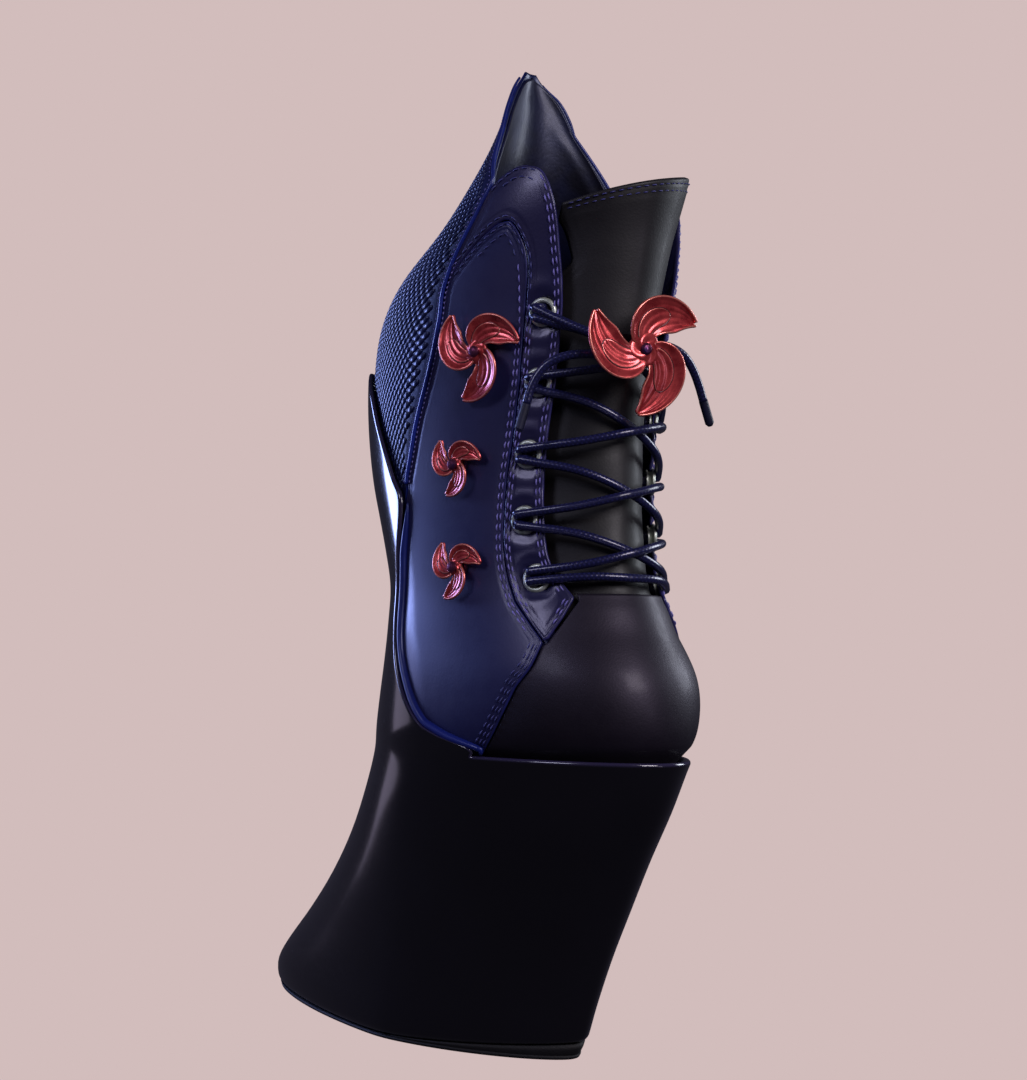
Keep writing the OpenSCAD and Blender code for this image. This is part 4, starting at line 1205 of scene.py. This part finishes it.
@dataclass
class Tongue:
    """Padded tongue in one piece, from under the lacing to the flap that folds forwards."""

    wardrobe: Wardrobe
    foot: float = 175.0
    fold: float = 313.5
    thickness: float = 4.5
    flare: float = 5.0
    fold_start: float = 0.306
    fold_end: float = 0.320

    def sink(self, u: Array) -> Array:
        """How far the tongue lies under the surface, deeper towards its sides."""
        return -LEATHER - 0.3 - 4.6 * np.clip(np.abs(u + 8) / 40, 0, 1) ** 1.5

    def surface(self, u: Array, nominal: Array) -> tuple[Array, Array, Array]:
        """Height and lift at an angle and a height before the slanted top edge is applied."""
        t = np.clip((nominal - self.fold) / (346 - self.fold), 0, 1)
        z = np.where(nominal < self.fold, nominal, self.fold + t * (346 + 0.22 * u - self.fold))
        crown = 0.9 * np.cos(np.clip((u + 8) / 46, -1, 1) * np.pi / 2)
        return u, z, self.sink(u) + self.flare * t * t + crown * ramp((nominal - 300) / 20)

    def sides(self, nominal: Array) -> tuple[Array, Array]:
        """Outer and inner side angles: wide under the panels, and between the throat's edges at the flap."""
        z = np.minimum(nominal, 336)
        open_z = edge(THROAT, z)
        free = ramp((nominal - 302) / 12)
        return (-52 + (2.5 - open_z + 52) * free, 38 + (Side.INNER.turned(open_z, z) - 2.5 - 38) * free)

    def build(self) -> None:
        """Makes the padded sheet, its hem rows and the bend at the fold."""
        nominal = self.foot + (346 - self.foot) * packed(171.0, 1.8, (0, .4, .9, 1.5, 2.2, 3, 4, 5.2))
        low, high = self.sides(nominal)
        u = grid(low, high, packed(78.0, 1.3, (0, .4, .9, 1.5, 2.2, 3, 4, 5.2)))
        u, z, lift = self.surface(u, np.repeat(nominal[:, None], u.shape[1], 1))
        crease = 0.22 * np.sin(z / 5.2 + 1.2 * np.cos(np.radians(3 * u))) * ramp((300 - z) / 30)
        def pad(d: Array) -> Array:
            """Height of the padding by its distance from the edge, with two sewn channels."""
            channels = 0.3 * np.exp(-(((d - 2.4) / 0.6) ** 2)) + 0.25 * np.exp(-(((d - 5) / 0.6) ** 2))
            return 0.35 * ramp(d / 7) - channels
        sheet = Sheet(UPPER.at(u, z, lift + crease), UPPER.facing(u, z), pad, -self.thickness, 2.0)
        tongue = self.wardrobe.dress(sheet.build("tongue_padded"), "tongue_leather", "black_leather", None,
                                     ["tongue_body", "tongue_flap"])
        hem_u = np.linspace(low[-1] + 3, high[-1] - 3, 80)
        rows = []
        for down in (2.4, 5.0):
            _, hz, hl = self.surface(hem_u, np.full(80, 346 - down))
            rows.append(Line.on(UPPER, hem_u, hz, hl + 0.25))
        # The hem takes the thread's painted shaded copy.
        hem = self.wardrobe.dress(Thread(3.4, 2.4, 0.27, 0.15).sew("tongue_hem_stitches", rows), "thread_painted_shade",
                                  "black_leather", None)
        for piece in (tongue, hem):
            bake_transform(piece)


@dataclass(frozen=True)
class Place:
    """A pin's place: its foot on the leather and its compass and climb angles in degrees."""

    origin: tuple[float, float, float]
    compass: float
    climb: float

    @classmethod
    def of_joint(cls, name: str) -> "Place":
        """Place of a joint of the frame: its point, and the direction of its axis."""
        joint = next(j for j in frame["joints"] if j["name"] == name)
        x, y, z = joint["axis"]
        return cls(tuple(p / METRES for p in joint["pos_m"]), math.degrees(math.atan2(y, x)),
                   math.degrees(math.asin(z)))

    def axes(self) -> Array:
        """Local directions as columns: down the boot, across it, and outwards."""
        a, c = math.radians(self.compass), math.radians(self.climb)
        return np.array([[math.sin(c) * math.cos(a), -math.sin(a), math.cos(c) * math.cos(a)],
                         [math.sin(c) * math.sin(a), math.cos(a), math.cos(c) * math.sin(a)],
                         [-math.cos(c), 0.0, math.sin(c)]])

    def put(self, points: Array) -> Array:
        """Local points in the boot's frame."""
        return points @ self.axes().T + np.array(self.origin)


def turned_about(points: Array, degrees: float, axis: int = 2) -> Array:
    """Points turned about a local axis through the origin."""
    a, (i, j) = math.radians(degrees), ((1, 2), (2, 0), (0, 1))[axis]
    out = points.copy()
    out[..., i] = math.cos(a) * points[..., i] - math.sin(a) * points[..., j]
    out[..., j] = math.sin(a) * points[..., i] + math.cos(a) * points[..., j]
    return out


@dataclass
class Lacing:
    """Eyelets, the crossed lace with its lock, and the two free ends."""

    wardrobe: Wardrobe
    pair: float = 3.9
    lock: tuple[float, float, float] = (15.0, 6.0, 11.0)
    lock_lift: float = 5.6
    way: tuple[tuple[int, int, int], ...] = (
        (1, 4, 1), (2, 3, 1), (1, 2, 1), (2, 1, 1), (1, 0, 1),
        (2, 0, -1), (1, 1, -1), (2, 2, -1), (1, 3, -1), (2, 4, -1))
    lifts: tuple[float, ...] = (3.2, 7, 3.2, 7, 2.9, 3.2, 7, 3.2, 7)
    left: tuple[tuple[float, float, float], ...] = (
        (125.6, -18.3, 274.6), (124.1, -22.4, 274.6), (121.8, -27.5, 274.6), (118.4, -32.5, 274.4),
        (114, -36.8, 273.4), (109.6, -40, 271), (106, -42.2, 266.8), (103.6, -43.6, 261.6), (102, -44.4, 256))
    right: tuple[tuple[float, float, float], ...] = (
        (131.4, -4.5, 280), (132.9, -0.2, 280), (134, 4, 279.3), (134.6, 8.3, 277.6), (134.6, 12.4, 274.8),
        (134, 16.3, 271), (133.2, 19.9, 266.4), (132.4, 23.2, 261.2))
    left_length: float = 0.0459
    right_length: float = 0.0362

    def eyelet(self, step: tuple[int, int, int]) -> tuple[float, float]:
        """Angle and height of an eyelet on the lace's way."""
        return (EYELETS_OUTER if step[0] == 1 else EYELETS_INNER)[step[1]]

    def through(self, step: tuple[int, int, int]) -> Array:
        """Points over the flange, down through the eyelet, round behind the leather and back up."""
        o, n = table_point(*self.eyelet(step))
        side = 1 if step[0] == 1 else -1
        up = unit(np.array([0, 0, 1.0]) - n[2] * n)
        throat = -side * np.cross(up, n)
        h = step[2] * self.pair / 2 * up
        return np.array([o + 2.8 * throat + 2.9 * n + h, o + 0.9 * n + h, o - 1.2 * n + h, o - 3.15 * n,
                         o - 1.2 * n - h, o + 0.9 * n - h, o + 2.8 * throat + 2.9 * n - h])

    def crossing(self, k: int) -> Array:
        """Points over the tongue; near the eyelets a crossing keeps two fifths of its extra height."""
        a, b = np.array(self.eyelet(self.way[k])), np.array(self.eyelet(self.way[k + 1]))
        low = self.lifts[0] + 0.4 * (self.lifts[k] - self.lifts[0])
        return np.array([table_point(*(a + (b - a) * s), lift)[0]
                         for s, lift in ((0.25, low), (0.5, self.lifts[k]), (0.75, low))])

    def lock_point(self, place: Place, across: float, up: float) -> Array:
        """A point in the lock's two holes."""
        axes = place.axes()
        n, y = axes[:, 2], axes[:, 1]
        lift = self.lock_lift + self.lock[1] / 2
        return np.array(place.origin) + lift * n + across * y + up * np.cross(n, y)

    def route(self) -> Array:
        """The lace's whole way, from the lock through the eyelets and back to the lock."""
        place, hole, half = Place.of_joint("rotor_lace_spin"), self.lock[2] / 4, self.lock[0] / 2
        parts = [np.array([self.lock_point(place, half, hole), self.lock_point(place, -half - 2, hole)])]
        for k, step in enumerate(self.way):
            parts.append(self.through(step))
            if k < len(self.way) - 1:
                parts.append(self.crossing(k))
        parts.append(np.array([self.lock_point(place, half + 2, -hole),
                               self.lock_point(place, -half, -hole)]))
        return np.concatenate(parts)

    def free_ends(self) -> None:
        """The two ends that leave the lock, each with its sealed tip."""
        for word, points, length in (("left", self.left, self.left_length),
                                     ("right", self.right, self.right_length)):
            path = resampled(np.array(points), 1.1)
            end = tube(f"lace_free_{word}", path, LACE / 2, 16)
            self.wardrobe.dress(end, "lace_cord", replaces=[f"lace_end_{word}"])
            tuple(path[0] * METRES)
            (path * METRES).tolist()
            self.wardrobe.repaint(f"aglet_{word}", "aglet_film")

    def crossed(self) -> None:
        """The laced run."""
        path = resampled(self.route(), 1.15)
        self.wardrobe.dress(tube("lace_crossed_cord", path, LACE / 2, 14), "lace_cord",
                            replaces=["lace_crossed"])

    def eyelets(self, side: Side) -> None:
        """A row of domed rings with their barrels: one closed profile turned about each eyelet's axis."""
        profile = np.array([
            [3.8, -1.6], [3.78, -.5], [3.8, .25], [3.92, .68], [4.2, .98], [4.65, 1.12], [5.1, 1.05],
            [5.5, .8], [5.78, .4], [5.84, .05], [5.6, -.12], [4.9, -.16], [4.3, -.2], [4.25, -1.6]])
        profile[:, 1] = np.where(profile[:, 1] > 0.2, profile[:, 1] + 0.12, profile[:, 1])
        a = np.arange(48) * 2 * math.pi / 48
        m, n = len(profile), len(a)
        quad = ring_faces(m, n, closed=True)
        corners = []
        for place in (EYELETS_OUTER if side is Side.OUTER else EYELETS_INNER):
            o, out = table_point(*place)
            up = unit(np.array([0, 0, 1.0]) - out[2] * out)
            right = np.cross(up, out)
            round_ = np.cos(a)[:, None] * right + np.sin(a)[:, None] * up
            corners.append(o + profile[:, 0][:, None, None] * round_ + profile[:, 1][:, None, None] * out)
        quads = (np.arange(len(corners))[:, None, None] * m * n + quad).reshape(-1, 4)
        obj = mesh_object(f"eyelet_rings_{side.word}", np.array(corners).reshape(-1, 3), [quads])
        self.wardrobe.dress(obj, "eyelet_metal", replaces=[f"eyelets_{side.word}"])

    def build(self) -> None:
        """Makes the lacing and finishes the lock and the washers behind the leather."""
        self.free_ends()
        self.crossed()
        for side in Side:
            self.eyelets(side)
        self.wardrobe.repaint("eyelet_washers", "eyelet_metal")
        self.wardrobe.repaint("lace_lock", "lock_metal")


BLADES = 3
LARGEST = 25.0


@dataclass
class Rotor:
    """A free-spinning rotor: three swept, dished blades with an inner petal each, round a swirled hub."""

    wardrobe: Wardrobe
    name: str
    radius: float
    base: float
    tip: float
    hub_height: float = 3.2
    turn: float = -78.0
    lean: float = -40.0
    wide: float = 0.36
    pitch: float = 8.0
    swirl: float = 5.5

    def place(self) -> Place:
        """Where the rotor's pin stands."""
        return Place.of_joint(f"{self.name}_spin")

    def petal_taper(self, s: Array, end: float, least: float = 0.0) -> Array:
        """Half width of the inner petal: full for a fifth of the blade, then rounded over the given share."""
        return np.sqrt(np.clip(1 - ((s - 0.2) / end).clip(0, 1) ** 4, least, 1))

    def leaf(self, s: Array, w: Array, narrow: float = 1.0) -> Array:
        """Plan of a blade: its middle line sweeps back from the hub, and w goes across it from −1 to 1."""
        a = np.radians(self.turn * s**1.1)
        b = a + np.radians(self.lean * s)
        half = self.wide * self.radius * np.sin(np.pi * (0.1 + 0.9 * s) ** 0.95) ** 0.75 * narrow
        out = (0.12 + 0.88 * s) * self.radius
        return np.stack([out * np.cos(a) - w * half * np.sin(b), out * np.sin(a) + w * half * np.cos(b)], -1)

    def height(self, s: Array, w: Array) -> Array:
        """Height over the blade's plane: dished across, with fine ridges along the sweep and a raised rim."""
        k = self.radius / LARGEST
        dish = 1.5 * k * (w * w - 0.35) * ramp(s / 0.3)
        ridges = 0.10 * k * np.sin(17 * w + 3.5 * s) * ramp(s / 0.25) * ramp((1 - s) / 0.2)
        rim = 0.55 * k * ramp((np.abs(w) - 0.72) / 0.2) * ramp(s / 0.2)
        return dish + ridges + rim + 0.5 * k * s * s

    def blade(self, s: Array, w: Array, narrow: float, lift: float) -> Array:
        """Blade points in local axes, tilted by the pitch about the blade's own middle."""
        flat = np.concatenate([self.leaf(s, w, narrow), (self.height(s, w * narrow) + lift)[..., None]], -1)
        return turned_about(turned_about(flat, -self.turn / 2), self.pitch, 0)

    def set_round(self, points: Array, number: int) -> Array:
        """Points of one of the three blades, in the boot's frame."""
        turned = turned_about(points, 360 / BLADES * number + self.tip - self.turn / 2)
        return self.place().put(turned + np.array([0, 0, self.base + self.hub_height / 2 + 0.2]))

    def hub(self) -> tuple[Array, list[Array]]:
        """Domed hub with three curled ridges: rings from its underside, round the side and up to the pin."""
        reach = 0.27 * self.radius
        share = np.array([0.05, 0.6, 0.95, 1.0, 1.0, 0.97, 0.9, 0.8, 0.7, 0.6, 0.5, 0.4, 0.3, 0.2, 0.1])
        ring = np.arange(len(share))
        dome = self.hub_height * (0.55 + 0.5 * np.sqrt(np.clip(1 - share**2, 0, 1)))
        height = np.where(ring < 3, 0.1, dome)
        height[3] = 0.6
        a = np.arange(72) * 2 * math.pi / 72
        curl = np.sin(BLADES * a[None] + self.swirl * share[:, None])
        swell = 0.13 * self.hub_height * curl * (np.sin(np.pi * share) * (ring > 4))[:, None]
        r = reach * share[:, None] * (1
                                      + 0.07 * np.sin(BLADES * a[None] + self.swirl) * (share[:, None] > 0.7))
        points = np.stack([r * np.cos(a), r * np.sin(a), self.base + height[:, None] + swell], -1)
        shape = points.shape[:2]
        return self.place().put(points.reshape(-1, 3)), [ring_faces(*shape), end_caps(*shape)]

    def outline(self, number: int) -> Array:
        """Closed line round an inner petal."""
        s = np.linspace(0.08, 0.66, 40)
        ring_s = np.concatenate([s, s[::-1][1:]])
        taper = self.petal_taper(s, 0.46)
        ring_w = np.concatenate([taper, -taper[::-1][1:]])
        return self.set_round(self.blade(ring_s, ring_w, 0.5, 0.62), number)

    def build(self) -> None:
        """Makes the blades, petals, lines and hub, which all ride on the rotor's body."""
        s = 0.985 * packed(30.0, 0.8, (0, .2, .5, .9, 1.4, 2))
        w = 2 * packed(16.0, 0.55, (0, .15, .35, .6, .9, 1.3)) - 1
        ss, ww = np.meshgrid(s, w, indexing="ij")
        s2 = 0.06 + 0.6 * packed(15.0, 0.6, (0, .2, .5, .9))
        sp, wp = np.meshgrid(s2, w, indexing="ij")
        taper = self.petal_taper(sp, 0.47, 0.02)
        outward = self.place().axes()[:, 2]
        pieces = []
        for number in range(BLADES):
            for label, points, thick in (("blade", self.set_round(self.blade(ss, ww, 1.0, 0), number), 1.1),
                                         ("petal", self.set_round(self.blade(sp, wp * taper, 0.5, 0.35),
                                                                  number), 1.0)):
                out = unit(np.cross(np.gradient(points, axis=0), np.gradient(points, axis=1)))
                out = out * np.where((out @ outward)[..., None] < 0, -1, 1)
                pieces.append(Sheet(points, out, thick / 2, -thick / 2, 0.5).build(f"{label}{number}"))
        points, faces = self.hub()
        # The hub is kept free of the rims' painted highlight.
        pieces.append(mesh_object("hub", points, faces, {"edge": np.full(len(points), NO_EDGE_TONE)}))
        obj = joined(pieces, f"{self.name}_blades")
        self.wardrobe.dress(obj, "red_enamel", body=self.name, replaces=[self.name])
        thick = 0.2 * max(self.radius / LARGEST, 0.7)
        lines = joined([tube(f"line{n}", self.outline(n), thick, 6) for n in range(BLADES)],
                       f"{self.name}_lines")
        self.wardrobe.dress(lines, "enamel_line", "red_enamel", body=self.name)
        short = self.name.removeprefix("rotor_")
        self.wardrobe.repaint(f"pin_{short}", "pin_steel")
        self.wardrobe.repaint(f"washer_{short}", "pin_steel")


def joined(pieces: list[bpy.types.Object], name: str) -> bpy.types.Object:
    """One object from several that belong together."""
    with bpy.context.temp_override(active_object=pieces[0], object=pieces[0], selected_objects=pieces,
                                   selected_editable_objects=pieces):
        bpy.ops.object.join()
    pieces[0].name = pieces[0].data.name = name
    return pieces[0]


@dataclass
class Studio:
    """Camera, pale floor and soft lights."""

    pink: Colour = shade(210, 189, 188)

    def camera(self) -> None:
        """The camera, a little below the boot's middle and tilted up."""
        data = bpy.data.cameras.new("camera")
        data.lens, data.sensor_width, data.clip_start, data.clip_end = 50, 36, 0.01, 20
        obj = bpy.data.objects.new("camera", data)
        obj.location = (0.52057, -0.42789, 0.156)
        obj.rotation_euler = (math.radians(94.8), 0, math.radians(48))
        bpy.context.scene.collection.objects.link(obj)
        bpy.context.scene.camera = obj

    def light(self, name: str, place: Colour, size: float, power: float, colour: Colour) -> None:
        """Square soft light aimed at the boot's middle."""
        data = bpy.data.lights.new(name, "AREA")
        data.size, data.energy, data.color = size, power, colour
        obj = bpy.data.objects.new(name, data)
        at = np.array(place) - np.array([0.03, 0, 0.2])
        obj.location = place
        obj.rotation_euler = (math.atan2(math.hypot(at[0], at[1]), at[2]), 0, math.atan2(at[0], -at[1]))
        bpy.context.scene.collection.objects.link(obj)

    def floor(self) -> None:
        """Round floor that glows evenly in the backdrop's own colour."""
        a, r = np.arange(96) * 2 * math.pi / 96, np.array([0.2, 400, 1200, 6000, 12000.0])
        points = np.stack([r[:, None] * np.cos(a), r[:, None] * np.sin(a), np.full((5, 96), -0.02)], -1)
        obj = mesh_object("floor", points.reshape(-1, 3), [ring_faces(5, 96)[:, ::-1]])
        n = Nodes("floor")
        black = (0.0, 0.0, 0.0)
        obj.data.materials.append(n.finish(black, 1.0, None, Emission_Color=(*self.pink, 1.0),
                                           Emission_Strength=1.0,
                                           Specular_IOR_Level=0.0))
        obj.visible_glossy = False
        obj.visible_diffuse = False

    def world(self) -> None:
        """Pale backdrop for the camera, and a dim cool one for what the boot reflects."""
        world = bpy.data.worlds.new("studio")
        world.use_nodes = True
        tree = world.node_tree
        tree.nodes.clear()
        seen, dim, mix, path, out = (tree.nodes.new(kind) for kind in (
            "ShaderNodeBackground", "ShaderNodeBackground", "ShaderNodeMixShader", "ShaderNodeLightPath",
            "ShaderNodeOutputWorld"))
        seen.inputs[0].default_value = (*self.pink, 1)
        dim.inputs[0].default_value = (0.55, 0.5, 0.75, 1)
        dim.inputs[1].default_value = 0.05
        tree.links.new(path.outputs["Is Camera Ray"], mix.inputs[0])
        tree.links.new(dim.outputs[0], mix.inputs[1])
        tree.links.new(seen.outputs[0], mix.inputs[2])
        tree.links.new(mix.outputs[0], out.inputs[0])
        bpy.context.scene.world = world

    def build(self) -> None:
        """Sets the studio up; colours are shown as they are, without a film curve."""
        self.floor()
        self.world()
        self.light("key", (1.05, -0.2, 0.62), 0.4, 5.5, (1.0, 0.93, 1.0))
        self.light("side", (0.05, -1.1, 0.75), 0.35, 2.6, (0.75, 0.75, 1.0))
        self.light("rim", (-0.85, -0.35, 0.42), 0.35, 6.5, (0.35, 0.45, 1.0))
        self.light("far", (0.5, 1.1, 0.6), 0.5, 6, (0.85, 0.9, 1.0))
        self.light("patch", (-0.85, -0.3, 0.14), 0.3, 0.16, (0.8, 0.7, 1.0))
        self.light("front", (1.0, 0.05, 0.12), 0.15, 0.14, (0.85, 0.75, 1.0))
        bpy.context.scene.view_settings.view_transform = "Standard"


ROTORS = (("rotor_upper", 20.0, 2.9, 94.0), ("rotor_middle", 13.0, 2.0, 94.0),
          ("rotor_lower", 13.0, 2.0, 94.0),
          ("rotor_lace", 25.0, 14.2, 116.0))


def main() -> None:
    """Builds the studio, the lacing's cords and then the boot from the ground up."""
    wardrobe = Wardrobe()
    studio = Studio()
    studio.camera()
    Lacing(wardrobe).build()
    Platform(wardrobe).build()
    Upper(wardrobe).build()
    Tongue(wardrobe).build()
    for name, radius, base, tip in ROTORS:
        Rotor(wardrobe, name, radius, base, tip).build()
    studio.build()


if __name__ == "__main__":
    main()
